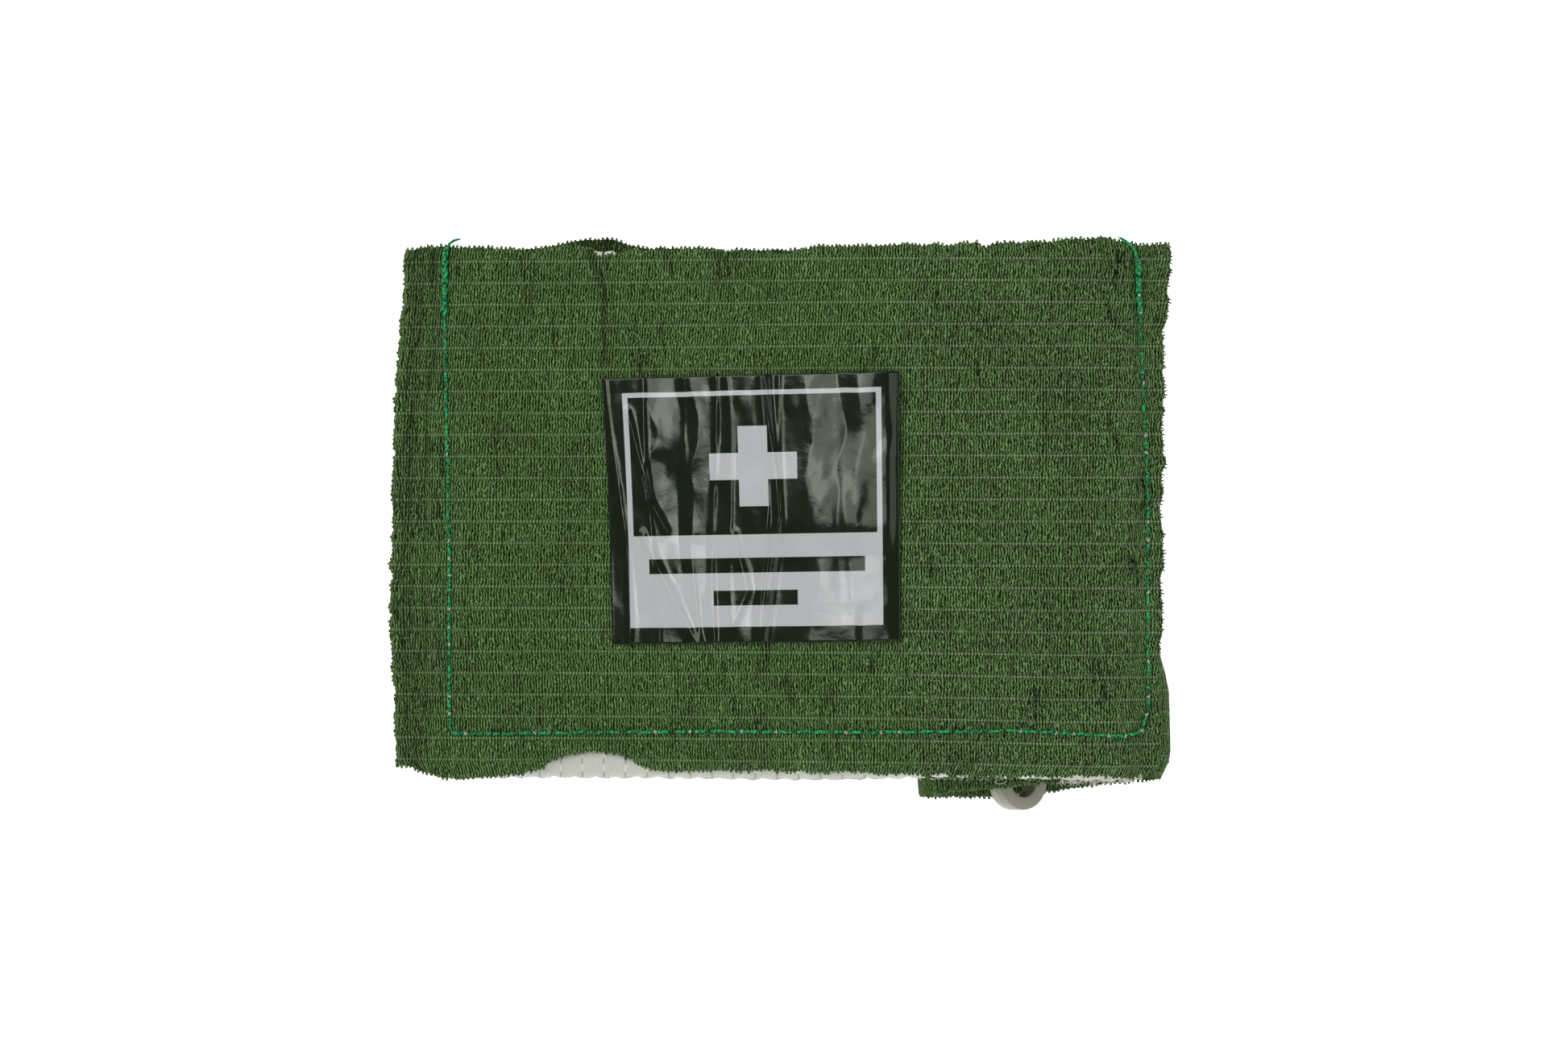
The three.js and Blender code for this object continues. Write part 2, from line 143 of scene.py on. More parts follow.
# The wrap's broad low waves, which the film label follows too
SWELL = Ripple(0.3, 9.0, 12.0, 23)


@dataclass(frozen=True)
class Form:
    """The bandage's shared sizes in millimetres, and the surfaces that its soft pieces follow."""

    cloth: float = 0.8
    gap: float = 0.3
    half_wrap: float = 50.0
    panel_length: float = 145.3
    wander: float = 2.0
    fold_radius: float = 1.2
    notch_depth: float = 4.1
    notch_half: float = 13.8
    notch_round: float = 1.75
    notch_along: float = 0.2515
    peek_height: float = 1.85
    peek_half: float = 13.92
    roll_width: float = 49.4
    roll_turns: int = 3
    core_roundness: float = 1.6
    roll_roundness: float = 2.7
    roll_yaw: float = math.radians(4.5)
    roll_drop: float = 2.0
    roll_inset: float = 1.0
    drape_run: float = 75.0
    shoulder: float = 6.0
    roll_flat: float = 0.25
    cut_droop: float = 1.8
    droop_from: float = 0.35
    droop_reach: float = 0.75
    pad_thickness: float = 5.5
    pad_from_fold: float = 6.5
    pad_from_cut: float = 1.8
    pad_below: float = 0.7
    pad_inside: float = 0.8
    fold_taper: float = 12.0
    cut_taper: float = 10.0
    cut_fill: float = 0.45
    selvedge_taper: float = 4.0
    selvedge_fill: float = 0.75
    selvedge_from: float = 10.0
    bar_thickness: float = 2.5
    bar_width: float = 4.4
    hook_radius: float = 5.2
    hook_reach: float = 4.4
    hook_return: float = 14.0
    bar_tilt: float = math.radians(32.0)
    bar_offset: float = -5.3

    # Shares of the panel from its lower to its upper selvedge, and how far its two ends stand out there
    end_rows: tuple = (-1.0, -0.95, -0.9, -0.66, -0.35, 0.0, 0.3, 0.55, 0.75, 0.9, 0.97, 1.0)
    fold_wander: tuple = (-0.6, -0.1, -0.02, 0.15, 0.45, 0.22, 0.1, -0.25, -0.7, -0.9, -0.9, -1.1)
    cut_wander: tuple = (-1.4, -0.65, -0.65, -0.55, -0.35, -0.25, -0.15, -0.2, 0.15, 0.5, 0.72, 0.55)

    # Shares of the panel from its fold to its cut end, and how far its selvedges stand out there
    low_at: tuple = (0.0, 0.02, 0.05, 0.09, 0.16, 0.255, 0.3, 0.38, 0.48, 0.53, 0.65, 0.77, 0.93, 0.975, 1.0)
    low_wander: tuple = (-1.0, -0.15, 0.35, 0.15, -0.2, -0.3, -0.4, -0.5, -0.6, -0.6, -0.45, -0.25, -0.3, -0.05, -0.9)
    high_at: tuple = (0.0, 0.02, 0.08, 0.16, 0.21, 0.238, 0.246, 0.269, 0.2895, 0.3245, 0.378, 0.4, 0.44, 0.5, 0.53,
                      0.65, 0.745, 0.757, 0.77, 0.87, 0.92, 0.945, 0.96, 0.985, 1.0)
    high_wander: tuple = (-0.3, 0.1, -0.2, -0.25, -0.1, -0.2, -1.1, -0.75, -0.6, -0.37, -0.3, -0.4, -1.0, -1.1, -0.35,
                          -0.2, -0.1, -0.55, -0.1, 0.3, 0.45, 0.0, -0.3, -0.1, -0.2)

    @property
    def pitch(self) -> float:
        """Returns how far one turn of the roll lies outside the next."""
        return self.cloth + self.gap

    @property
    def roll_half(self) -> float:
        """Returns half the roll's width, to the middle of its outer turn."""
        return self.roll_width / 2 - self.cloth / 2

    @property
    def core_half(self) -> float:
        """Returns half the core's width."""
        return self.roll_half - self.pitch * self.roll_turns

    @property
    def core_height(self) -> float:
        """Returns half the core's height, which the tilted closure bar needs."""
        clear = self.gap + self.cloth / 2
        near = self.core_half - abs(self.bar_offset) - clear
        across = self.hook_radius * math.cos(self.bar_tilt) - self.bar_width / 2 * math.sin(self.bar_tilt)
        up = self.hook_radius * math.sin(self.bar_tilt) + self.bar_width / 2 * math.cos(self.bar_tilt)
        return up / (1 - (across / near) ** self.core_roundness) ** (1 / self.core_roundness) + clear

    @property
    def roll_centre(self) -> tuple[float, float, float]:
        """Returns the middle of the roll."""
        height = self.core_height + self.pitch * (self.roll_turns - 0.5)
        x = self.panel_length / 2 - self.roll_inset - self.roll_width / 2
        return x, -self.roll_drop, height - self.roll_flat + self.cloth / 2

    @property
    def roll_top(self) -> float:
        """Returns how high the layer behind the pad lies on the roll."""
        return self.roll_centre[2] + self.core_height + self.pitch * self.roll_turns - self.cloth / 2

    @property
    def pad_low(self) -> float:
        """Returns where the pad's lower edge lies, which shows under the wrap's."""
        return -self.half_wrap - self.pad_below

    @property
    def pad_high(self) -> float:
        """Returns where the pad's upper edge lies."""
        return self.half_wrap - self.pad_inside

    def lift(self, x: Grid, y: Grid) -> Grid:
        """Returns how high the surface under the layer behind the pad is."""
        centre_x, centre_y, _ = self.roll_centre
        across = (x - centre_x) * math.cos(self.roll_yaw) + (y - centre_y) * math.sin(self.roll_yaw)
        droop = ease((across / self.roll_half - self.droop_from) / self.droop_reach)
        slope = ease((across - self.shoulder + self.roll_half) / self.drape_run + 1)
        return self.roll_top * slope - self.cut_droop * droop

    def fold_edge(self, y: Grid) -> Grid:
        """Returns where the fold's outside lies."""
        out = np.interp(np.asarray(y) / self.half_wrap, self.end_rows, self.fold_wander)
        return -self.panel_length / 2 - self.wander * out

    def cut_edge(self, y: Grid) -> Grid:
        """Returns where the wrap's cut end lies."""
        out = np.interp(np.asarray(y) / self.half_wrap, self.end_rows, self.cut_wander)
        return self.panel_length / 2 + self.wander * out

    def fold_start(self, y: Grid) -> Grid:
        """Returns where the panel ends and the fold's bend begins."""
        return self.fold_edge(y) + self.fold_radius + self.cloth / 2

    def lower(self, share: Grid) -> Grid:
        """Returns the lower selvedge at a share of the panel's length, with its notch."""
        off = (share - self.notch_along) * self.panel_length / self.notch_half
        drawn = self.notch_depth * np.clip(1 - off * off, 0, None) ** self.notch_round
        return -self.half_wrap - self.wander * np.interp(share, self.low_at, self.low_wander) + drawn

    def upper(self, share: Grid) -> Grid:
        """Returns the upper selvedge at a share of the panel's length."""
        return self.half_wrap + self.wander * np.interp(share, self.high_at, self.high_wander)

    def pad_fill(self, x: Grid, y: Grid) -> Grid:
        """Returns the share of its thickness that the pad has at a point."""
        from_fold = x - self.fold_start(y)
        fold_fill = (2 * self.fold_radius - self.cloth - 2 * self.gap) / self.pad_thickness
        ends = blend(fold_fill, 1.0, ease(from_fold / self.fold_taper))
        ends = ends * blend(self.cut_fill, 1.0, ease((self.cut_edge(y) - x) / self.cut_taper))
        near = np.minimum(y - self.pad_low, self.pad_high - y)
        sides = blend(self.selvedge_fill, 1.0, ease(near / self.selvedge_taper))
        return ends * blend(1.0, sides, ease(from_fold / self.selvedge_from))

    def pad_under(self, x: Grid, y: Grid) -> Grid:
        """Returns the height of the pad's underside."""
        return self.lift(x, y) + self.cloth + self.gap

    def pad_top(self, x: Grid, y: Grid) -> Grid:
        """Returns the height of the pad's upper side."""
        return self.pad_under(x, y) + self.pad_thickness * self.pad_fill(x, y)

    def panel_top(self, x: Grid, y: Grid) -> Grid:
        """Returns the height of the panel's smooth upper side."""
        return self.pad_top(x, y) + self.gap + self.cloth

    def section(self, size: Grid, angle: Grid, power: Grid, flat_at: Grid) -> tuple[Grid, Grid]:
        """A point of the roll's flattened oval.

        Args:
            size: Turns outside the core, which say how large the oval is.
            angle: Place round the oval.
            power: Exponent of its cosine and sine.
            flat_at: The size at which the oval's underside is flattened.

        Returns:
            Places across and up, from the roll's middle.
        """
        across, up = np.cos(angle), np.sin(angle)
        highest = self.bar_offset * (1 - size / self.roll_turns)
        side = self.core_half + self.pitch * size - highest * np.sign(across)
        height = self.core_height + self.pitch * size
        lowest = self.roll_flat - self.core_height - self.pitch * flat_at
        x = highest + side * np.sign(across) * np.abs(across) ** power
        return x, np.maximum(lowest, height * np.sign(up) * np.abs(up) ** power)

    def turned(self, x: Grid, y: Grid) -> tuple[Grid, Grid]:
        """Returns a place of the roll's frame in the wrap's frame, seen from above."""
        centre_x, centre_y, _ = self.roll_centre
        cos, sin = math.cos(self.roll_yaw), math.sin(self.roll_yaw)
        return centre_x + x * cos - y * sin, centre_y + x * sin + y * cos


FORM = Form()


def wrap_origin() -> Vector:
    """Returns where the wrap's own origin lies in the frame, in millimetres."""
    fold_bulge = 0.88
    wrap_low, pad_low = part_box("elastic_wrap")[0] / MM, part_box("wound_pad")[0] / MM
    return Vector((wrap_low.x + FORM.panel_length / 2 + fold_bulge, pad_low.y - FORM.pad_low, 0.0))


ORIGIN = wrap_origin()


@dataclass(frozen=True)
class View:
    """The camera straight above the bandage, and how a place in its picture becomes a place on the wrap."""

    centre_x: float = 0.456
    centre_y: float = 0.152
    level: float = 12.0
    distance: float = 1300.0
    picture_width: float = 295.8
    sensor: float = 36.0
    rounds: int = 4

    def on_panel(self, across: float, up: float) -> Pair:
        """Finds a point of the panel by where it is seen.

        Args:
            across: Millimetres to the right of the picture's middle, at the camera's level.
            up: Millimetres above the picture's middle.

        Returns:
            The place in the wrap's frame.
        """
        x, y = across, up
        for _ in range(self.rounds):
            shrink = 1 - (float(FORM.panel_top(x, y)) - self.level) / self.distance
            x = self.centre_x + across * shrink - ORIGIN.x
            y = self.centre_y + up * shrink - ORIGIN.y
        return x, y

    def line(self, places: Sequence[Pair]) -> list[Pair]:
        """Returns a line of seen places as places in the wrap's frame."""
        return [self.on_panel(across, up) for across, up in places]


VIEW = View()


class MeshMaker:
    """Turns grids of points into Blender objects."""

    @staticmethod
    def build(name: str, points: Grid, quads: Grid, uv: Optional[Grid] = None) -> bpy.types.Object:
        """Makes one smooth object.

        Args:
            name: The piece's name.
            points: Its points in the wrap's frame, in millimetres, one a row.
            quads: Its faces, four point numbers a row.
            uv: For each face corner, its place on the flat cloth in metres.

        Returns:
            The new object, at the origin.
        """
        mesh = bpy.data.meshes.new(name)
        places = (points + np.array(ORIGIN)) * MM
        mesh.vertices.add(len(places))
        mesh.vertices.foreach_set("co", places.astype(np.float32).ravel())
        mesh.loops.add(quads.size)
        mesh.loops.foreach_set("vertex_index", quads.astype(np.int32).ravel())
        mesh.polygons.add(len(quads))
        mesh.polygons.foreach_set("loop_start", np.arange(0, quads.size, 4, dtype=np.int32))
        mesh.polygons.foreach_set("use_smooth", np.ones(len(quads), dtype=bool))
        if uv is not None:
            layer = mesh.uv_layers.new(name="cloth")
            layer.data.foreach_set("uv", uv.astype(np.float32).ravel())
        mesh.update(calc_edges=True)
        mesh.validate()
        made = bpy.data.objects.new(name, mesh)
        bpy.context.scene.collection.objects.link(made)
        return made

    @staticmethod
    def cells(columns: int, rows: int, closed: bool) -> tuple[Grid, Grid, Grid]:
        """Returns the column, the row and the four point numbers of each cell of a grid."""
        i, j = np.meshgrid(np.arange(columns - 1), np.arange(rows if closed else rows - 1), indexing="ij")
        i, j = i.ravel(), j.ravel()
        after = (j + 1) % rows
        return i, j, np.stack([i * rows + j, (i + 1) * rows + j, (i + 1) * rows + after, i * rows + after], 1)

    @classmethod
    def sheet(cls, name: str, points: Grid, cloth: Grid, ring: bool = False) -> bpy.types.Object:
        """Makes a sheet, or a tube whose rows close on themselves, facing up or out.

        Args:
            name: The piece's name.
            points: Columns by rows by three, in millimetres.
            cloth: Columns by rows by two, the place on the flat cloth in metres. A ring has one row more.
            ring: Whether the last row joins the first.

        Returns:
            The new object.
        """
        columns, rows = points.shape[:2]
        i, j, quads = cls.cells(columns, rows, ring)
        uv = np.stack([cloth[i, j], cloth[i + 1, j], cloth[i + 1, j + 1], cloth[i, j + 1]], 1)
        flat = points.reshape(-1, 3)
        if ring:
            caps = cls.caps(columns, rows)
            quads = np.concatenate([quads, caps])
            uv = np.concatenate([uv, np.zeros((len(caps), 4, 2)) + cloth[0, 0]])
        corner = flat[quads]
        normal = np.cross(corner[:, 2] - corner[:, 0], corner[:, 3] - corner[:, 1])
        facing = (normal * corner[:, 0]).sum() if ring else normal[:, 2].sum()
        if facing < 0:
            quads, uv = quads[:, ::-1], uv[:, ::-1]
        return cls.build(name, flat, quads, uv)

    @staticmethod
    def caps(columns: int, rows: int) -> Grid:
        """Returns the faces that close a ringed sheet's two ends, by joining each ring's two halves."""
        j = np.arange(rows // 2 - 1)
        first = np.stack([j, j + 1, rows - 2 - j, rows - 1 - j], 1)
        return np.concatenate([first, (columns - 1) * rows + first[:, ::-1]])

    @classmethod
    def shell(cls, name: str, upper: Grid, under: Grid, cloth: Grid) -> bpy.types.Object:
        """Makes a closed piece of two sheets on one grid, joined all round.

        Args:
            name: The piece's name.
            upper: One side's points, columns by rows by three.
            under: The other side's.
            cloth: The place of both on the flat cloth, in metres.

        Returns:
            The new object.
        """
        rings = np.concatenate([upper, under[:, ::-1]], axis=1)
        return cls.sheet(name, rings, np.concatenate([cloth, cloth[:, ::-1], cloth[:, :1]], axis=1), ring=True)

    @classmethod
    def tubes(cls, name: str, lines: Sequence[Grid], radius: Grid, sides: int, taper: float = 0.15) -> bpy.types.Object:
        """Makes one object of many thin closed tubes.

        Args:
            name: The piece's name.
            lines: For each tube, its points in millimetres.
            radius: The tubes' radius, one for all or one for each.
            sides: Sides of the tubes, four or six.
            taper: Share of the radius left at a tube's two ends.

        Returns:
            The new object.
        """
        points, quads, start = [], [], 0
        angle = (2 * np.pi * np.arange(sides) / sides)[:, None]
        lid = np.array([[3, 2, 1, 0], [5, 4, 3, 0]])[:sides // 2 - 1]
        nearly_upright = 0.9
        for line, thickness in zip(lines, np.broadcast_to(radius, len(lines))):
            count = len(line)
            way = np.gradient(line, axis=0)
            way /= np.linalg.norm(way, axis=1, keepdims=True) + TINY
            helper = np.where(np.abs(way[:, 2:3]) < nearly_upright, [[0.0, 0.0, 1.0]], [[1.0, 0.0, 0.0]])
            side = np.cross(way, helper)
            side /= np.linalg.norm(side, axis=1, keepdims=True)
            up = np.cross(side, way)
            thick = np.full(count, thickness)
            thick[[0, -1]] *= taper
            offset = side[:, None] * np.cos(angle) + up[:, None] * np.sin(angle)
            points.append((line[:, None] + offset * thick[:, None, None]).reshape(-1, 3))
            body = np.roll(cls.cells(count, sides, True)[2][:, ::-1], 1, axis=1)
            quads += [start + body, start + lid, start + (count - 1) * sides + lid[:, ::-1]]
            start += count * sides
        return cls.build(name, np.concatenate(points), np.concatenate(quads))

    @staticmethod
    def mark(piece: bpy.types.Object, creases: Grid) -> None:
        """Gives each point of a piece the crease value that the knit's material reads, which sets how much painted
        shade its colour gets there.
        """
        marks = piece.data.attributes.new("crease", "FLOAT", "POINT")
        marks.data.foreach_set("value", creases.astype(np.float32).ravel())


def by_maths(operation: str, swapped: bool = False) -> Callable[..., "Value"]:
    """Makes a method of Value that is one Math node.

    Args:
        operation: The node's operation.
        swapped: Whether the other value comes first.

    Returns:
        The method.
    """
    def method(value: "Value", *other: "Given") -> "Value":
        """Returns the node's result."""
        return value.wire.maths(operation, *((*other, value) if swapped else (value, *other)))

    return method


class Value:
    """A node's output, so that a chain of nodes reads as a sum, with | for the larger of two."""

    def __init__(self, wire: "Wiring", socket: bpy.types.NodeSocket) -> None:
        """Keeps the output and the wiring that it belongs to."""
        self.wire, self.socket = wire, socket

    __add__, __sub__, __mul__, __truediv__ = (by_maths(kind) for kind in ("ADD", "SUBTRACT", "MULTIPLY", "DIVIDE"))
    __or__, __abs__, part = (by_maths(kind) for kind in ("MAXIMUM", "ABSOLUTE", "FRACT"))
    __rsub__ = by_maths("SUBTRACT", swapped=True)

    def wave(self, pitch: float) -> "Value":
        """Returns a sine wave along this value."""
        return self.wire.maths("SINE", self * (2 * math.pi / pitch))

    def steps(self, low: float, high: float, start: float = 0.0, end: float = 1.0) -> "Value":
        """Returns a value that eases from start to end while this one goes from low to high."""
        return self.wire.node("ShaderNodeMapRange", self, low, high, start, end, interpolation_type="SMOOTHSTEP")

    def strokes(self, pitch: float) -> "Value":
        """Returns rounded stripes along this value, 1 along their middles."""
        return self.wave(pitch).steps(-0.45, 0.6)

    def scaled(self, *by: float) -> "Value":
        """Returns this vector with each part multiplied."""
        return self.wire.node("ShaderNodeVectorMath", self, by, operation="MULTIPLY")

    def split(self) -> tuple["Value", "Value"]:
        """Returns this vector's first two parts."""
        node = self.wire.add("ShaderNodeSeparateXYZ")
        self.wire.put(self, node.inputs[0])
        return Value(self.wire, node.outputs[0]), Value(self.wire, node.outputs[1])


Given = Union[Value, float, tuple]


class Wiring:
    """Adds nodes to a material or a node group and joins them."""

    def __init__(self, tree: bpy.types.NodeTree) -> None:
        """Keeps the tree and starts at its left."""
        self.tree = tree
        self.count = 0

    def add(self, kind: str, **settings: object) -> bpy.types.Node:
        """Adds a node.

        Args:
            kind: Blender's name of the node's type.
            settings: Its properties by name.

        Returns:
            The new node.
        """
        node = self.tree.nodes.new(kind)
        node.location = (200 * (self.count % 12), -260 * (self.count // 12))
        self.count += 1
        for name, value in settings.items():
            setattr(node, name, value)
        return node

    def put(self, given: Given, socket: bpy.types.NodeSocket) -> None:
        """Links a socket to a value, or sets it to a plain number, vector or colour."""
        if isinstance(given, Value):
            self.tree.links.new(given.socket, socket)
        else:
            socket.default_value = given

    def node(self, kind: str, *given: Given, **settings: object) -> Value:
        """Adds a node with its first inputs given, and returns its first output."""
        node = self.add(kind, **settings)
        for value, socket in zip(given, node.inputs):
            self.put(value, socket)
        return Value(self, node.outputs[0])

    def maths(self, operation: str, *given: Given, clamp: bool = False) -> Value:
        """Returns the result of a Math node."""
        return self.node("ShaderNodeMath", *given, operation=operation, use_clamp=clamp)

    def join(self, x: Given, y: Given, z: Given = 0.0) -> Value:
        """Returns a vector made of parts."""
        return self.node("ShaderNodeCombineXYZ", x, y, z)

    def colours(self, share: Given, a: Given, b: Given, kind: str = "MIX") -> Value:
        """Returns a mix of two colours, given as values or as red, green and blue."""
        node = self.add("ShaderNodeMix", data_type="RGBA", blend_type=kind)
        self.put(share, node.inputs["Factor"])
        for given, socket in ((a, node.inputs[6]), (b, node.inputs[7])):
            self.put((*given, 1.0) if isinstance(given, tuple) else given, socket)
        return Value(self, node.outputs[2])

    def speckle(self, place: Value, scale: float, detail: float = 2.0, roughness: float = 0.5) -> Value:
        """Returns a Noise node's value."""
        node = self.add("ShaderNodeTexNoise")
        for name, given in (("Vector", place), ("Scale", scale), ("Detail", detail), ("Roughness", roughness)):
            self.put(given, node.inputs[name])
        return Value(self, node.outputs["Fac"])


def knit_group() -> bpy.types.NodeTree:
    """Makes the node group of the crinkled knit: upright strands between thin lengthwise threads.

    Returns:
        A group that turns a place on the flat cloth, in metres, into a colour and a height.
    """
    tree = bpy.data.node_groups.new("crinkled knit", "ShaderNodeTree")
    tree.interface.new_socket("Cloth", in_out="INPUT", socket_type="NodeSocketVector")
    tree.interface.new_socket("Crease", in_out="INPUT", socket_type="NodeSocketFloat")
    tree.interface.new_socket("Colour", in_out="OUTPUT", socket_type="NodeSocketColor")
    tree.interface.new_socket("Height", in_out="OUTPUT", socket_type="NodeSocketFloat")
    strand_pitch, leaning_pitch, thread_pitch, tick_pitch = 0.56, 0.62, 4.1, 0.64
    hollow_shade, green = (0.012, 0.027, 0.005), (0.222, 0.394, 0.13)
    pale_green, grey_green = (0.27, 0.4, 0.2), (0.26, 0.34, 0.22)
    wire = Wiring(tree)
    inputs = wire.add("NodeGroupInput").outputs
    # Crease: how much painted shade the knit's colour gets in creases, and below 0 where the knit lies over the roll
    crease = Value(wire, inputs["Crease"])
    place = Value(wire, inputs["Cloth"]).scaled(1000.0, 1000.0, 0.0)
    across, along = place.split()
    over_roll = crease.steps(-0.2, 0.0, 1.0, 0.0)

    # Upright strands that sway and break off, with leaning ones here and there
    sway = wire.speckle(place, 0.85, 3.0) - 0.5
    spots = wire.speckle(place, 1.9, 1.0)
    upright = (across + (sway + (spots - 0.5) * 0.55)).strokes(strand_pitch)
    drift = (wire.speckle(wire.join(along * 1.1, across), 0.9, 3.0) - 0.5) * 1.5
    leaning = (across * 0.95 + along * 0.42 + drift).strokes(leaning_pitch)
    broken = wire.speckle(wire.join(across, along * 0.6), 1.7, 1.0).steps(0.32, 0.56)
    sparse = wire.speckle(wire.join(along, across), 1.1, 1.0).steps(0.54, 0.66)
    strands = upright * (broken * 0.38 + 0.62) | leaning * sparse

    # Lengthwise threads, each with a row of ticks, faded in patches
    beat = abs((along / thread_pitch).part() - 0.5)
    tick_place = sway * 0.3 + across
    near_thread = beat.steps(0.075, 0.12, 1.0, 0.0)
    faded = wire.speckle(place, 0.2, 3.0).steps(0.35, 0.55, 0.5, 1.0)
    rungs = tick_place.wave(tick_pitch).steps(0.0, 0.6) * near_thread * faded
    thread = beat.steps(0.016, 0.04, 1.0, 0.0) * faded

    # Fuzz, lumps and thin fold lines
    fuzz = wire.speckle(place, 5.5, 4.0, 0.7)
    lumps = wire.speckle(place.scaled(1.0, 0.55, 0.0), 1.5, 1.0) - 0.5
    folds = wire.speckle(wire.join(tick_place * 0.62, along * 0.085), 1.0, 2.0)
    folded = wire.speckle(place.scaled(0.12, 0.07, 0.0), 1.0, 2.0).steps(0.53, 0.7) | crease.steps(0.02, 0.1)
    fold_line = abs(folds - 0.5).steps(0.0, 0.03, 1.0, 0.0) * folded * (over_roll + 1.0)
    height = strands * (1.0 - near_thread * faded * 0.75) | thread * 0.5 | rungs
    height = height + (fuzz - 0.5) * 0.6 + lumps * (over_roll + 0.4) - fold_line * 0.45

    # Colour: painted shade in the hollows and a painted highlight on the green strands, set by the relief's height;
    # then pale threads, grey fuzz, and painted shade in the creases and fold lines
    # The relief's height sets the colour: painted shade in the hollows, a painted highlight on the strands' tops,
    # stronger over the roll
    share = wire.maths("ADD", height * (over_roll * 0.35 + 0.9), over_roll * -0.235, clamp=True)
    pale = (thread * 0.3 | rungs * 0.46) * (over_roll * 0.6 + 1.0)
    grey = fuzz.steps(0.62, 0.8) * 0.3 | spots.steps(0.56, 0.7) * (over_roll * 0.42)
    shade = wire.colours(pale, wire.colours(share, hollow_shade, green), pale_green)
    shade = wire.colours(grey, shade, grey_green)
    patch = wire.speckle(place, 0.055, 3.0).steps(0.3, 0.7, 0.92, 1.08)
    # Random darker patches, multiplied by painted shade in the creases and along the thin fold lines
    patches_and_crease_shade = patch * (1.0 - (crease * 0.55 | fold_line * 0.28))
    result = wire.add("NodeGroupOutput")
    wire.put(wire.colours(1.0, shade, wire.join(patches_and_crease_shade, patches_and_crease_shade, patches_and_crease_shade), "MULTIPLY"), result.inputs["Colour"])
    wire.put(height, result.inputs["Height"])
    return tree


class Texture(Enum):
    """Where a finish reads its place from."""

    CLOTH = "cloth"
    OBJECT = "object"


@dataclass(frozen=True)
class Finish:
    """A material's plain settings, and how a material is made of what a kind of finish paints."""

    name: str
    roughness: float = 0.8
    specular: float = 0.3
    texture: Texture = Texture.OBJECT
    relief: float = 0.0
    strength: float = 1.0

    def paint(self, wire: Wiring, place: Value) -> dict[str, Value]:
        """Returns values for the shader's inputs by name, and the relief from 0 to about 1 as Height."""
        raise NotImplementedError

    def make(self) -> bpy.types.Material:
        """Returns the finished material, whose relief is in millimetres."""
        material = bpy.data.materials.new(self.name)
        material.use_nodes = True
        material.node_tree.nodes.clear()
        wire = Wiring(material.node_tree)
        shader = wire.add("ShaderNodeBsdfPrincipled")
        shader.inputs["Roughness"].default_value = self.roughness
        shader.inputs["Specular IOR Level"].default_value = self.specular
        output = wire.add("ShaderNodeOutputMaterial")
        wire.put(Value(wire, shader.outputs[0]), output.inputs["Surface"])
        if self.texture is Texture.CLOTH:
            place = wire.node("ShaderNodeUVMap", uv_map="cloth")
        else:
            place = Value(wire, wire.add("ShaderNodeTexCoord").outputs["Object"])
        painted = self.paint(wire, place)
        if "Height" in painted:
            bump = wire.add("ShaderNodeBump")
            bump.inputs["Distance"].default_value = self.relief * MM
            bump.inputs["Strength"].default_value = self.strength
            wire.put(painted.pop("Height"), bump.inputs["Height"])
            painted["Normal"] = Value(wire, bump.outputs[0])
        for name, value in painted.items():
            wire.put(value, shader.inputs[name])
        return material


@dataclass(frozen=True)
class KnitFinish(Finish):
    """The wrap's crinkled knit."""

    name: str = "green crinkled knit"
    roughness: float = 0.92
    specular: float = 0.1
    texture: Texture = Texture.CLOTH
    relief: float = 0.4

    def paint(self, wire: Wiring, place: Value) -> dict[str, Value]:
        """Returns the relief and colour of the knit's group."""
        knit = wire.add("ShaderNodeGroup", node_tree=knit_group())
        wire.put(place, knit.inputs["Cloth"])
        crease = wire.add("ShaderNodeAttribute", attribute_name="crease")
        wire.put(Value(wire, crease.outputs["Fac"]), knit.inputs["Crease"])
        return {"Base Color": Value(wire, knit.outputs["Colour"]), "Height": Value(wire, knit.outputs["Height"])}


@dataclass(frozen=True)
class LoopFinish(Finish):
    """The single yarn of the selvedge's loops and frayed ends."""

    name: str = "green yarn"
    roughness: float = 0.9
    specular: float = 0.16
    relief: float = 0.05

    def paint(self, wire: Wiring, place: Value) -> dict[str, Value]:
        """Returns a colour that varies from loop to loop, and a fine grain."""
        tone = wire.speckle(place, 900.0).steps(0.35, 0.65)
        tone = wire.colours(tone, (0.055, 0.1, 0.032), (0.17, 0.29, 0.11))
        return {"Base Color": tone, "Height": wire.speckle(place, 5000.0)}


@dataclass(frozen=True)
class PadFinish(Finish):
    """White quilted wadding, with its sewn channels and their thread."""

    name: str = "white quilted wadding"
    roughness: float = 0.88
    specular: float = 0.25
    texture: Texture = Texture.CLOTH
    relief: float = 0.25
    channel_pitch: float = 4.1
    stitch_pitch: float = 2.6
    slant_run: float = 5.2

    def paint(self, wire: Wiring, place: Value) -> dict[str, Value]:
        """Returns matted fibre, dashed stitches down the channels and slanting threads between."""
        flat = place.scaled(1000.0, 1000.0, 0.0)
        across, along = flat.split()
        sway = (wire.speckle(flat, 0.7) - 0.5) * 0.5
        share = ((across + sway) / self.channel_pitch).part()
        line = abs(share - 0.5).steps(0.45, 0.475)
        dash = along.wave(self.stitch_pitch).steps(-0.5, 0.1)
        climb = wire.maths("PINGPONG", along / self.slant_run, 1.0)
        slant = abs(climb - share).steps(0.02, 0.05, 1.0, 0.0)
        thread = line * dash | slant * 0.7
        fibre = wire.speckle(flat.scaled(1.0, 2.4, 1.0), 3.2, 5.0, 0.65)
        tone = wire.colours(fibre, (0.56, 0.565, 0.49), (0.82, 0.83, 0.76))
        # Painted shade: the sunk channel lines are coloured darker grey
        tone = wire.colours(line * 0.7, tone, (0.42, 0.42, 0.36))
        tone = wire.colours(thread * 0.75, tone, (0.97, 0.97, 0.93))
        return {"Base Color": tone, "Height": fibre * 0.5 + thread * 0.6 - line * 0.5}


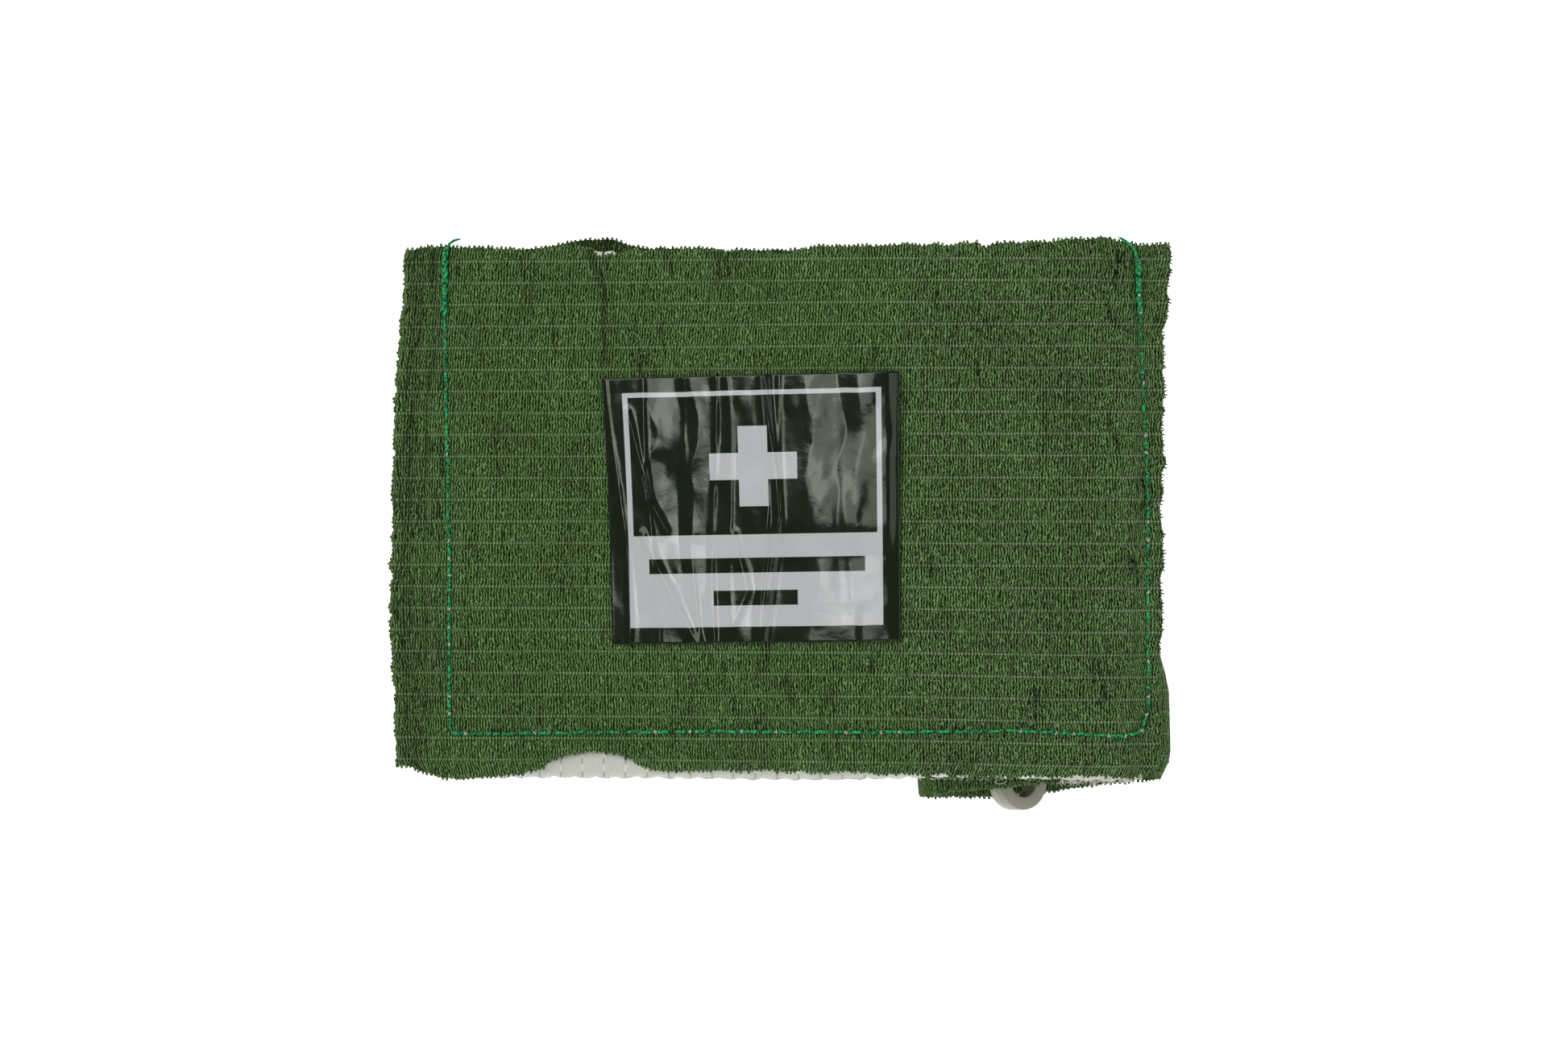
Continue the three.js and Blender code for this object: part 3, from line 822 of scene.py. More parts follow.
@dataclass(frozen=True)
class FibreFinish(Finish):
    """Loose white fibre."""

    name: str = "white fibre"
    roughness: float = 0.7

    def paint(self, wire: Wiring, place: Value) -> dict[str, Value]:
        """Returns a white that varies from fibre to fibre."""
        return {"Base Color": wire.colours(wire.speckle(place, 700.0), (0.62, 0.62, 0.58), (0.9, 0.9, 0.87))}


@dataclass(frozen=True)
class ThreadFinish(Finish):
    """Shiny emerald sewing thread."""

    name: str = "emerald thread"
    roughness: float = 0.42
    relief: float = 0.06

    def paint(self, wire: Wiring, place: Value) -> dict[str, Value]:
        """Returns fine filaments as a bump, and from the same noise a painted highlight on the dark thread's colour."""
        filament_and_highlight = wire.speckle(place, 2100.0, 3.0)
        # Painted highlight: the filaments' noise lightens the thread's colour in patches, standing in for light on its
        # twisted plies
        tone = wire.colours(filament_and_highlight.steps(0.4, 0.6), (0.0, 0.07, 0.02), (0.035, 0.5, 0.16))
        return {"Base Color": tone, "Height": filament_and_highlight}


@dataclass(frozen=True)
class PlasticFinish(Finish):
    """Ivory moulded plastic."""

    name: str = "ivory moulded plastic"
    specular: float = 0.45
    relief: float = 0.02
    strength: float = 0.6

    def paint(self, wire: Wiring, place: Value) -> dict[str, Value]:
        """Returns a faint flow of colour, a fine moulded grain and a few scuffs."""
        flow, grain = wire.speckle(place, 90.0, 3.0), wire.speckle(place, 2600.0, 3.0)
        tone = wire.colours(flow.steps(0.3, 0.7), (0.33, 0.315, 0.25), (0.38, 0.365, 0.295))
        scuff = wire.speckle(place.scaled(1.0, 0.25, 1.0), 700.0, 4.0).steps(0.62, 0.72)
        tone = wire.colours(scuff * 0.25, tone, (0.5, 0.49, 0.42))
        return {"Base Color": tone, "Roughness": grain.steps(0.3, 0.7, 0.32, 0.5), "Height": grain}


@dataclass(frozen=True)
class PrintFinish(Finish):
    """Glossy film printed black and white, with a plain cross and two plain bars."""

    name: str = "printed film"
    specular: float = 0.42
    texture: Texture = Texture.CLOTH
    relief: float = 0.05
    strength: float = 0.35
    # Boxes on the film as shares of its width and height: left, right, low, high
    outer: tuple = (0.065, 0.941, 0.06, 0.943)
    inner: tuple = (0.083, 0.923, 0.405, 0.925)
    cross: tuple = ((0.453, 0.553, 0.51, 0.81), (0.353, 0.653, 0.61, 0.71))
    bars: tuple = ((0.135, 0.88, 0.262, 0.318), (0.357, 0.648, 0.14, 0.196))
    soft: float = 0.0015

    def inside(self, place: Value, start: float, end: float) -> Value:
        """Returns 1 between two places of the print and 0 outside them."""
        soft = self.soft
        return place.steps(start - soft, start + soft) * place.steps(end - soft, end + soft, 1.0, 0.0)

    def paint(self, wire: Wiring, place: Value) -> dict[str, Value]:
        """Returns the print's black and white, its gloss and its faint waves."""
        u, v = place.split()
        outer, inner, upright, level, *bars = (
            self.inside(u, left, right) * self.inside(v, low, high)
            for left, right, low, high in (self.outer, self.inner, *self.cross, *self.bars))
        white = outer - inner | upright | level
        for bar in bars:
            white = wire.maths("SUBTRACT", white, bar, clamp=True)
        haze = wire.speckle(place, 9.0, 4.0)
        black = wire.colours(haze, (0.002, 0.006, 0.0015), (0.007, 0.014, 0.005))
        pale = wire.colours(haze, (0.5, 0.51, 0.52), (0.58, 0.59, 0.6))
        return {
            "Base Color": wire.colours(white, black, pale),
            "Specular Tint": wire.colours(white, (0.93, 1.0, 0.88), (1.0, 1.0, 1.0)),
            "Roughness": haze.steps(0.3, 0.7, 0.08, 0.15),
            "Height": wire.speckle(place, 40.0, 3.0),
        }


def dress(piece: bpy.types.Object, material: bpy.types.Material) -> bpy.types.Object:
    """Gives a piece its material and its body.

    Args:
        piece: The piece.
        material: Its finish.

    Returns:
        The same piece.
    """
    piece.data.materials.clear()
    piece.data.materials.append(material)
    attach(piece, "root")
    log.info("%s: %d faces", piece.name, len(piece.data.polygons))
    return piece


@dataclass
class Seam:
    """The thread that holds the wrap to the pad, along its left, lower and right sides."""

    pitch: float = 3.27
    dash: float = 2.85
    ply_radius: float = 0.19
    ply_offset: float = 0.15
    bold: float = 1.15
    heavy_radius: float = 0.3
    heavy_offset: float = 0.3
    heavy_lift: float = 0.32
    twists: float = 1.6
    tail_twists: float = 3.0
    turn_on: float = 0.13
    overlap: float = 0.12
    first_lock: float = 14.5
    last_lock: float = 9.0
    sunk_from_end: float = 86.0
    sunk_over: float = 5.0
    sunk: float = 0.4
    bow: float = 0.12
    rise: float = 0.62
    dip: float = 0.3
    stretch_steps: int = 11
    tail_steps: int = 16
    sides: int = 6
    # The hollows that the thread draws in the wrap: depth and half width
    hollows: tuple = ((0.42, 0.75), (0.2, 2.2))
    # Places in the picture, in millimetres from its middle
    seen: tuple = (
        (-63.8, 51.6), (-64.1, 37.8), (-63.4, 7.4), (-63.1, -10.9), (-63.2, -38.6), (-62.6, -39.9), (-36.9, -39.6),
        (-11.1, -39.4), (19.3, -39.6), (42.1, -39.2), (64.0, -40.4), (66.3, -39.8), (67.7, -39.1), (68.3, -37.2),
        (68.8, -33.7), (68.7, -23.0), (68.6, 7.4), (67.9, 22.6), (67.3, 37.8), (67.0, 41.6), (66.7, 49.8),
    )
    # Places in the picture, each with its height over the wrap
    tails: tuple = (
        ((-63.8, 51.3, 0.35), (-63.1, 52.6, 0.6), (-62.2, 53.2, 0.5), (-61.1, 53.5, 0.3)),
        ((66.7, 49.6, 0.35), (66.2, 51.2, 0.6), (65.1, 52.6, 0.7), (63.1, 53.9, 0.5)),
    )
    line: list = field(default_factory=list)

    def __post_init__(self) -> None:
        """Finds the seam's line on the wrap."""
        self.line = VIEW.line(self.seen)

    def pull(self, x: Grid, y: Grid) -> Grid:
        """Returns how far the thread draws the wrap down at a point, in millimetres."""
        off = from_line(x, y, self.line)
        return sum(depth * mound(off, half) for depth, half in self.hollows)

    def places(self) -> list[tuple[Grid, Grid, float]]:
        """Returns each stitch's start and end, seen from above, and its distance along the seam."""
        points = np.array(self.line)
        run = distances(points)
        reach = np.array([-0.5, 0.5]) * self.dash
        return [(*on_path(middle + reach, run, points), middle)
                for middle in np.arange(self.pitch / 2, run[-1], self.pitch)]

    @staticmethod
    def plies(line: Grid, side: Sequence[float], spread: Grid, turns: Grid) -> list[Grid]:
        """Returns two plies that turn about each other.

        Args:
            line: The thread's middle line.
            side: The level direction across it.
            spread: How far the plies' middles lie from the line.
            turns: How far they have turned along it, in whole turns.

        Returns:
            A line of points for each ply.
        """
        made = []
        for ply in range(2):
            angle = 2 * np.pi * (turns + ply / 2)
            shift = [side[0] * np.cos(angle), side[1] * np.cos(angle), np.sin(angle)]
            made.append(line + (spread * np.array(shift)).T)
        return made

    def stitch(self, start: Grid, end: Grid, middle: float, panel: "WrapPanel", heavy: bool,
               depth: float) -> list[Grid]:
        """Follows the plies of one stitch.

        Args:
            start: Where it comes up, seen from above.
            end: Where it goes down.
            middle: How far along the seam it is, which turns its twist.
            panel: The wrap that it lies on.
            heavy: Whether it is one of the doubled stitches that lock the seam's ends.
            depth: How far it sinks into the knit.

        Returns:
            A line of points for each ply.
        """
        share = np.linspace(0, 1, self.stretch_steps)
        way = (end - start) / np.linalg.norm(end - start)
        side = np.array([-way[1], way[0]])
        bow = self.bow * noise(middle * 3.1, 0.0, 5) * np.sin(np.pi * share)
        flat = start + (end - start) * share[:, None] + side * bow[:, None]
        arch = np.sin(np.pi * share) ** 0.5
        level = panel.height(flat[:, 0], flat[:, 1]) + self.rise * arch - self.dip * (1 - arch) - depth
        offset, twists, lift = (
            (self.heavy_offset, 1.0, self.heavy_lift) if heavy else (self.ply_offset, self.twists, 0.0))
        line = np.column_stack([flat, level + lift])
        return self.plies(line, side, offset, twists * share + self.turn_on * middle)

    def tail(self, seen: Sequence[tuple[float, float, float]], panel: "WrapPanel") -> list[Grid]:
        """Follows the two plies of a loose thread end.

        Args:
            seen: Places in the picture, each with its height over the wrap.
            panel: The wrap that it lies on.

        Returns:
            A line of points for each ply.
        """
        flat = np.array(VIEW.line([(across, up) for across, up, _ in seen]))
        inside_edge = np.minimum(flat[:, 1], FORM.half_wrap - 0.5)
        level = panel.height(flat[:, 0], inside_edge) + [height for *_, height in seen]
        share = np.linspace(0, 1, self.tail_steps)
        line = on_path(share, np.linspace(0, 1, len(seen)), np.column_stack([flat, level]))
        return self.plies(line, (1.0, 0.0), self.ply_offset * (1 + 0.8 * share), self.tail_twists * share)

    def build(self, panel: "WrapPanel", material: bpy.types.Material) -> bpy.types.Object:
        """Makes all stitches and the two loose tails as one piece."""
        lines, radii = [], []
        places = self.places()
        last = places[-1][2]
        for start, end, middle in places:
            way = end - start
            heavy = middle < self.first_lock or middle > last - self.last_lock
            if heavy:
                start, end = start - way * self.overlap, end + way * self.overlap
            depth = 0.0 if heavy else self.sunk * float(ease((middle - last + self.sunk_from_end) / self.sunk_over))
            lines += self.stitch(start, end, middle, panel, heavy, depth)
            light = self.ply_radius * (self.bold if abs(way[0]) > abs(way[1]) else 1.0)
            radii += [self.heavy_radius if heavy else light] * 2
        for seen in self.tails:
            lines += self.tail(seen, panel)
            radii += [self.ply_radius] * 2
        piece = MeshMaker.tubes("seam_thread", lines, np.array(radii), self.sides)
        return dress(piece, material)


@dataclass
class WrapPanel:
    """The wrap over the pad, from its cut end to round its fold."""

    columns: int = 300
    rows: int = 212
    fold_steps: int = 12
    seam: Seam = field(default_factory=Seam)
    # Grooves of the crinkle: how they bend, then depth, half width, own waves, share kept and where they are kept
    bend: Ripple = Ripple(0.9, 7.0, 8.0, 11)
    groove_kinds: tuple = (
        (0.75, 0.16, Ripple(1.0, 1.55, 11.0, 12), 0.5, Ripple(1.2, 5.0, 9.0, 14)),
        (0.9, 0.11, Ripple(1.0, 3.6, 21.0, 13), 0.45, Ripple(1.0, 12.0, 15.0, 15)),
    )
    groove_depth: float = 0.16
    # The crinkle itself, and its strength left of the roll with what the roll adds
    ridges: Ripple = Ripple(0.3, 1.3, 9.0, 21)
    beads: Ripple = Ripple(0.16, 0.75, 2.6, 22)
    calm: float = 0.75
    lively: float = 0.45
    # Waves along the selvedges, and how far in from them they reach
    edge_waves: Ripple = Ripple(0.35, 2.4, 3.0, 24)
    edge_reach: float = 2.0
    edge_drop: float = 0.45
    edge_round: float = 0.35
    # The cut end's ragged line: height, width of its waves, seed
    ragged: tuple = ((0.3, 0.9, 35), (0.45, 3.0, 36))
    # Waves of the selvedges: height, waves along the panel, seed
    low_frill: tuple = ((0.22, 420.0, 31), (0.3, 60.0, 32))
    high_frill: tuple = ((0.22, 400.0, 33), (0.25, 55.0, 34))
    # Where the knit begins to rise onto the roll, and over what length it does
    roll_from: float = 18.0
    roll_over: float = 12.0
    # The crease that comes down from the upper selvedge, as places in the picture
    crease_seen: tuple = ((-37.1, 52.2), (-35.8, 49.0), (-34.7, 46.2), (-33.9, 42.0), (-33.7, 30.0))
    # The walls of that crease: height, distance from its line and half width
    crease_walls: tuple = ((-0.5, 0.0, 0.5), (0.45, 1.3, 0.9))
    # Long upright creases in the margin outside the seam: place from the middle and depth
    margin_creases: tuple = ((-70.1, 0.35), (-68.6, 0.22), (-66.4, 0.18))
    crease_half: float = 0.42
    # How much painted shade the knit's material puts in the grooves, the margin creases, the long crease and the left
    # margin by the fold, and the mark that tells it where the roll is
    groove_shade: float = 0.15
    margin_crease_shade: float = 1.2
    long_crease_shade: float = 0.7
    fold_margin_shade: float = 0.1
    left_from: float = -62.0
    left_over: float = 2.0
    roll_mark: float = -0.25
    # The rolled lip of the notch and the hollow behind it: height, distance from the selvedge and half width
    lips: tuple = ((1.15, 1.0, 1.7), (-0.35, 3.6, 1.5))
    # How the edges turn down and under: steps out and down
    cut_turns: tuple = ((0.12, -0.3), (0.02, -0.72), (-1.4, -0.8))
    selvedge_turns: tuple = ((0.13, -0.28), (0.03, -0.62), (-1.3, -0.7))
    crease: list = field(default_factory=list)

    def __post_init__(self) -> None:
        """Finds the crease's line on the wrap."""
        self.crease = VIEW.line(self.crease_seen)

    def grooves(self, x: Grid, y: Grid) -> Grid:
        """Returns how deep the crinkle's upright grooves are at a point, from 0 to 1."""
        bent = x + self.bend.at(x, y)
        deep = sum(depth * mound(own.at(bent, y), half) * ease(share + kept.at(x, y))
                   for depth, half, own, share, kept in self.groove_kinds)
        return np.clip(deep, 0, 1)

    def over_roll(self, x: Grid) -> Grid:
        """Returns 0 left of the roll and 1 over it, where the crinkle stands up most."""
        return ease((x - self.roll_from) / self.roll_over)

    def margin(self, x: Grid, y: Grid) -> Grid:
        """Returns the depth of the creases in the left margin."""
        shift = FORM.fold_edge(y) + FORM.panel_length / 2
        deep = 0.0
        for place, depth in self.margin_creases:
            deep = deep + depth * mound(x - place - 0.5 * noise(0.0, y / 17.0, int(-place)) - shift, self.crease_half)
        return deep

    def relief(self, x: Grid, y: Grid, edge: Grid) -> Grid:
        """The wrap's height over its smooth form.

        Args:
            x: Places along the wrap.
            y: Places across it.
            edge: How far each is from the nearer selvedge.

        Returns:
            Millimetres up.
        """
        crinkle = self.ridges.at(x, y) + self.beads.at(x, y) - self.groove_depth * self.grooves(x, y)
        up = (self.calm + self.lively * self.over_roll(x)) * crinkle + SWELL.at(x, y)
        up = up - self.margin(x, y) - self.seam.pull(x, y)
        off = from_line(x, y, self.crease)
        for height, beside, half in self.crease_walls:
            up = up + height * mound(off - beside, half)
        notch_x = (FORM.notch_along - 0.5) * FORM.panel_length
        lip = bell((x - notch_x) / FORM.notch_half * 0.92) * (y < 0)
        for height, inside, half in self.lips:
            up = up + height * lip * bell((edge - inside) / half)
        return up + self.edge_waves.at(x, y) * mound(edge, self.edge_reach)

    def height(self, x: Grid, y: Grid) -> Grid:
        """Returns the height of the wrap's crinkled upper side."""
        share = (x - FORM.fold_start(y)) / (FORM.cut_edge(y) - FORM.fold_start(y))
        edge = np.minimum(y - FORM.lower(share), FORM.upper(share) - y)
        return FORM.panel_top(x, y) + self.relief(x, y, edge)

    def build(self, material: bpy.types.Material) -> bpy.types.Object:
        """Makes the panel, its turned-down edges and its fold as one sheet."""
        share = np.linspace(0, 1, self.columns)[:, None]
        up = np.linspace(0, 1, self.rows)[None]
        low, high = (
            line + sum(tall * noise(share * waves, 0.0, seed) for tall, waves, seed in frill)
            for line, frill in ((FORM.lower(share), self.low_frill), (FORM.upper(share), self.high_frill)))
        y = low + (high - low) * up
        ragged = sum(tall * noise(y / width, 0.0, seed) for tall, width, seed in self.ragged)
        x = FORM.fold_start(y) + (FORM.cut_edge(y) + ragged * share ** 12 - FORM.fold_start(y)) * share
        edge = np.minimum(y - low, high - y)
        z = FORM.panel_top(x, y) + self.relief(x, y, edge) - self.edge_drop * np.exp(-edge / self.edge_round)
        # The crease value: painted shade for the knit's colour in the grooves, margin creases, left margin and long
        # crease, and a negative mark over the roll
        crease = np.clip(self.grooves(x, y) * self.groove_shade + self.margin(x, y) * self.margin_crease_shade, 0, 1)
        crease = crease + self.roll_mark * self.over_roll(x)
        crease = crease + self.fold_margin_shade * ease((self.left_from - x) / self.left_over)
        line = self.long_crease_shade * mound(from_line(x, y, self.crease), self.crease_half)
        crease = crease + np.maximum(line - np.maximum(crease, 0.0), 0.0)
        points, crease = self.with_fold(np.stack([x, y, z], 2), crease)
        points, crease = self.with_cut_end(points, crease)
        points, crease = self.with_selvedges(points, crease)
        piece = MeshMaker.sheet("wrap_panel", points, self.flat_places(points))
        MeshMaker.mark(piece, crease)
        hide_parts("elastic_wrap")
        return dress(piece, material)

    def with_fold(self, points: Grid, crease: Grid) -> tuple[Grid, Grid]:
        """Adds the bend down to the surface, before the panel's first column."""
        radius = FORM.fold_radius + FORM.cloth / 2
        first = points[0]
        under_reach = 3.0
        extra, marks = [], []
        for step in range(1, self.fold_steps + 1):
            share = step / self.fold_steps
            bend = first.copy()
            wave = 0.4 * noise(first[:, 1], step * 0.4, 41) + 0.3 * noise(first[:, 1] / 3.1, 0.0, 42)
            bend[:, 0] -= (radius + wave) * math.sin(math.pi * share)
            drop = (first[:, 2] - 2 * radius) * (1 - share)
            bend[:, 2] = np.maximum(0.0, radius * (1 + math.cos(math.pi * share)) + drop)
            extra.append(bend)
            marks.append(crease[0] * (1 - share))
        under = extra[-1] * [1.0, 1.0, 0.0] + [under_reach, 0.0, 0.0]
        extra, marks = np.stack([under] + extra[::-1]), np.stack([0 * crease[0]] + marks[::-1])
        return np.concatenate([extra, points]), np.concatenate([marks, crease])

    def with_cut_end(self, points: Grid, crease: Grid) -> tuple[Grid, Grid]:
        """Turns the cut end down and under, so that the cloth's thickness shows."""
        extra = np.stack([points[-1] + [out, 0.0, drop] for out, drop in self.cut_turns])
        marks = np.repeat(crease[-1:], len(extra), axis=0)
        return np.concatenate([points, extra]), np.concatenate([crease, marks])

    def with_selvedges(self, points: Grid, crease: Grid) -> tuple[Grid, Grid]:
        """Turns the two selvedges down and under."""
        low = [points[:, :1] + [0.0, -out, drop] for out, drop in self.selvedge_turns]
        high = [points[:, -1:] + [0.0, out, drop] for out, drop in self.selvedge_turns]
        for row in low + high:
            row[..., 2] = np.maximum(row[..., 2], 0.0)
        marks = [crease[:, :1]] * len(low) + [crease] + [crease[:, -1:]] * len(high)
        return np.concatenate(low[::-1] + [points] + high, axis=1), np.concatenate(marks, axis=1)

    @staticmethod
    def flat_places(points: Grid) -> Grid:
        """Returns each point's place on the flat cloth, in metres."""
        x, y = points[..., 0], points[..., 1]
        along = distances(points[:, points.shape[1] // 2, ::2])[:, None] + 0 * y
        sag = 0.8 * ease((x - 20.0) / 40.0) * (y < 0) * (-y / 50.0)
        return np.stack([along, y + sag], 2) * MM


@dataclass
class WrapTail:
    """The wrap from under the fold, behind the pad and into the roll, to its inner end."""

    thickness: float = 0.46
    windings: int = 6
    steps_per_winding: int = 84
    back_steps: int = 90
    rows: int = 54
    shear: float = 1.0
    free_length: float = 17.0
    free_steps: int = 12
    cloth_from: float = 160.0
    peek_shift: float = 1.2
    peek_pull: float = 1.4
    back_inset: float = 1.0
    back_lift: float = 0.35
    # The waves of its selvedges, across them in shares of the half width, and the ridges of the layer itself
    wobble: Ripple = Ripple(0.25, 1.9, 0.25, 51)
    back_ridges: Ripple = Ripple(0.14, 1.6, 10.0, 52)
    # How the roll's lower end bulges out: height, place and half width
    bulge: tuple = (-0.75, -5.0, 19.0)
    slips: float = 0.55
    frill: float = 0.3
    pleats: float = 0.1
    # How much painted shade the layer behind the pad gets along its upper selvedge
    upper_edge_shade: float = 0.9
    # Shares of the half width from the roll's middle to its lower end, and how far its outer side stands out there
    side_rows: tuple = (-1.0, -0.975, -0.95, -0.9, -0.8, -0.7, -0.62, -0.55, -0.3, 1.0)
    side_out: tuple = (-2.1, -1.3, -0.6, -0.4, -0.15, 0.1, -0.4, -1.1, -0.6, 0.0)

    def back(self) -> Grid:
        """Returns the middle surface of the layer behind the pad, from the fold to the roll's top."""
        row = np.linspace(-1, 1, self.rows)[None]
        share = np.linspace(0, 1, self.back_steps, endpoint=False)[:, None]
        centre_x, centre_y, _ = FORM.roll_centre
        start = FORM.fold_start(row * FORM.half_wrap) + self.back_inset
        along = start + (centre_x - start) * share
        peek_middle = FORM.panel_length * (FORM.notch_along - 0.5) + self.peek_shift
        peek = FORM.peek_height * bell((along - peek_middle) / FORM.peek_half) * (row > 0)
        y = row * (FORM.half_wrap + self.peek_pull * peek - self.back_inset) + self.wobble.at(along, row)
        out = along - centre_x
        turned = ease(out / FORM.roll_half + 1)
        yaw = FORM.roll_yaw * turned
        x = centre_x + out * np.cos(yaw) - y * np.sin(yaw)
        across = centre_y * turned + out * np.sin(yaw) + y * np.cos(yaw)
        rise = self.back_ridges.at(x, across) * ease((share - 0.02) / 0.1)
        z = FORM.lift(x, across) + self.back_lift + np.maximum(rise, -0.1)
        return np.stack([x, across, z], 2)

    def roll(self) -> Grid:
        """Returns the middle surface of the roll's windings, from the outer one in, and of the free end."""
        count = self.steps_per_winding * self.windings
        winding = self.windings - np.arange(count + self.steps_per_winding // 5) / self.steps_per_winding
        size = winding * FORM.roll_turns / self.windings
        power = 2 / blend(FORM.core_roundness, FORM.roll_roundness, np.clip(size / FORM.roll_turns, 0, 1))
        flat_at = (np.floor(winding) + 0.5) * FORM.roll_turns / self.windings
        x, z = FORM.section(size, math.pi / 2 + 2 * math.pi * winding, power, flat_at)
        end = np.linspace(0, 1, self.free_steps)[1:]
        x = np.concatenate([x, x[-1] - 0.4 - (self.free_length - 0.4) * end])[:, None]
        z = np.concatenate([z, z[-1] - 1.2 + 0.5 * np.sin(end * 5.0)])[:, None]
        layer = np.floor(np.concatenate([winding, winding[-1] - 0.1 * end]) * 2)[:, None]
        row = np.linspace(-1, 1, self.rows)[None]
        out, middle, half = self.bulge
        bulge = out * bell((x - middle) / half) * ease(-z / 3.0)
        slip = self.shear * z / z.max() + bulge - self.slips * noise(layer, 0.0, 53)
        wave = self.frill * noise(x / 2.4, layer * 3.7 + row, 54)
        y = row * (FORM.half_wrap - 0.2) + slip + wave * np.abs(row) ** 8
        pleat = self.pleats * noise(np.arange(len(x))[:, None] / 2.1, row * 6.0, 55)
        side = np.interp(row, self.side_rows, self.side_out) * (x > 0)
        world_x, world_y = FORM.turned(x * (1 + (side - pleat) / FORM.roll_half), y)
        return np.stack([world_x, world_y, FORM.roll_centre[2] + z * (1 - pleat / FORM.roll_half)], 2)

    def middle(self) -> Grid:
        """Returns the middle surface of the whole strip."""
        return np.concatenate([self.back(), self.roll()])

    def build(self, middle: Grid, material: bpy.types.Material) -> bpy.types.Object:
        """Makes the strip as one closed shell.

        Args:
            middle: Its middle surface.
            material: The knit's finish.

        Returns:
            The new piece.
        """
        normal = np.cross(np.gradient(middle, axis=0), np.gradient(middle, axis=1))
        normal *= self.thickness / 2 / (np.linalg.norm(normal, axis=2, keepdims=True) + TINY)
        upper, under = middle + normal, middle - normal
        for side in (upper, under):
            side[..., 2] = np.maximum(side[..., 2], 0.0)
        run = distances(middle[:, self.rows // 2])
        row = np.linspace(-FORM.half_wrap, FORM.half_wrap, self.rows)
        cloth = np.stack(np.broadcast_arrays(run[:, None] + self.cloth_from, row[None]), 2) * MM
        piece = MeshMaker.shell("wrap_tail", upper, under, cloth)
        # Painted shade along the upper selvedge of the layer behind the pad, passed to the knit's material as its
        # crease value
        shade = self.upper_edge_shade * ease((middle[..., 1] - FORM.half_wrap + 1.2) / 0.8)
        MeshMaker.mark(piece, np.concatenate([shade, shade[:, ::-1]], axis=1))
        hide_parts("elastic_wrap")
        return dress(piece, material)


@dataclass
class SelvedgeLoops:
    """The small yarn loops along the wrap's edges, and the broken ends along its cut."""

    pitch: float = 0.9
    radius: float = 0.14
    half_loop: float = 0.18
    reach: float = 0.46
    rooted: float = 0.15
    steps: int = 6
    slight: float = 0.6
    end_pitch: float = 0.62
    end_length: float = 0.42
    end_curl: float = 0.35

    def along(self, path: Grid, out: Sequence[float], seed: int, scale: float = 1.0) -> list[Grid]:
        """Follows the loops of one edge.

        Args:
            path: The edge's points, in order.
            out: The direction away from the cloth.
            seed: Varies the loops' sizes and leans.
            scale: How far the loops reach, as a share of their usual reach.

        Returns:
            A line of points for each loop.
        """
        run = distances(path)
        at = np.arange(0.4, run[-1] - 0.4, self.pitch)
        spots = on_path(at, run, path)
        ways = on_path(at + 0.3, run, path) - spots
        ways /= np.linalg.norm(ways, axis=1, keepdims=True) + TINY
        number = np.arange(len(at))
        leans = 0.3 * noise(number * 1.7, 0.0, seed)
        reaches = self.reach * scale * (1 + 0.5 * noise(number * 2.3, 1.0, seed + 1))
        angle = np.linspace(0, math.pi, self.steps)[:, None]
        return [
            spot + way * (self.half_loop * np.cos(angle) + lean * np.sin(angle))
            + np.array(out) * (reach * np.sin(angle) - self.rooted)
            for spot, way, lean, reach in zip(spots, ways, leans, reaches)]

    def broken_ends(self, edge: Grid) -> list[Grid]:
        """Returns short curled yarn ends along the cut."""
        lines = []
        share = np.linspace(0, 1, 4)
        for number, y in enumerate(np.arange(edge[3, 1] + 0.4, edge[-4, 1], self.end_pitch)):
            x, z = (np.interp(y, edge[:, 1], edge[:, axis]) for axis in (0, 2))
            length = self.end_length + 0.3 * float(noise(number * 1.9, 0.0, 63))
            curl = self.end_curl * float(noise(number * 2.7, 3.0, 64))
            lines.append(np.stack([x - 0.2 + length * share, y + curl * share ** 2, z + 0.1 * share], 1))
        return lines

    def build(self, panel: WrapPanel, piece: bpy.types.Object, tail: Grid,
              material: bpy.types.Material) -> bpy.types.Object:
        """Sets the loops along the edges of the made panel and of the tail.

        Args:
            panel: The panel's sizes.
            piece: The made panel.
            tail: The tail's middle surface.
            material: The yarn's finish.

        Returns:
            The loops as one piece.
        """
        places = np.empty(len(piece.data.vertices) * 3)
        piece.data.vertices.foreach_get("co", places)
        turned = len(panel.selvedge_turns)
        grid = places.reshape(-1, panel.rows + 2 * turned, 3) / MM - np.array(ORIGIN)
        bend = panel.fold_steps // 2
        outermost = int(np.argmax(tail[..., 0].max(axis=1)))
        down, up, left, right = (0.0, -1.0, 0.0), (0.0, 1.0, 0.0), (-1.0, 0.0, 0.0), (1.0, 0.0, 0.0)
        lines = self.along(grid[bend:, turned - 1], down, 61) + self.along(grid[bend:, -turned], up, 63)
        lines += self.along(tail[:, 0], down, 65) + self.along(tail[:WrapTail.back_steps, -1], up, 67)
        lines += self.along(grid[1 + bend], left, 68, self.slight)
        lines += self.along(tail[outermost, :tail.shape[1] // 3], right, 69, self.slight)
        lines += self.broken_ends(grid[-3])
        loops = MeshMaker.tubes("selvedge_loops", lines, self.radius, 4, taper=0.8)
        return dress(loops, material)


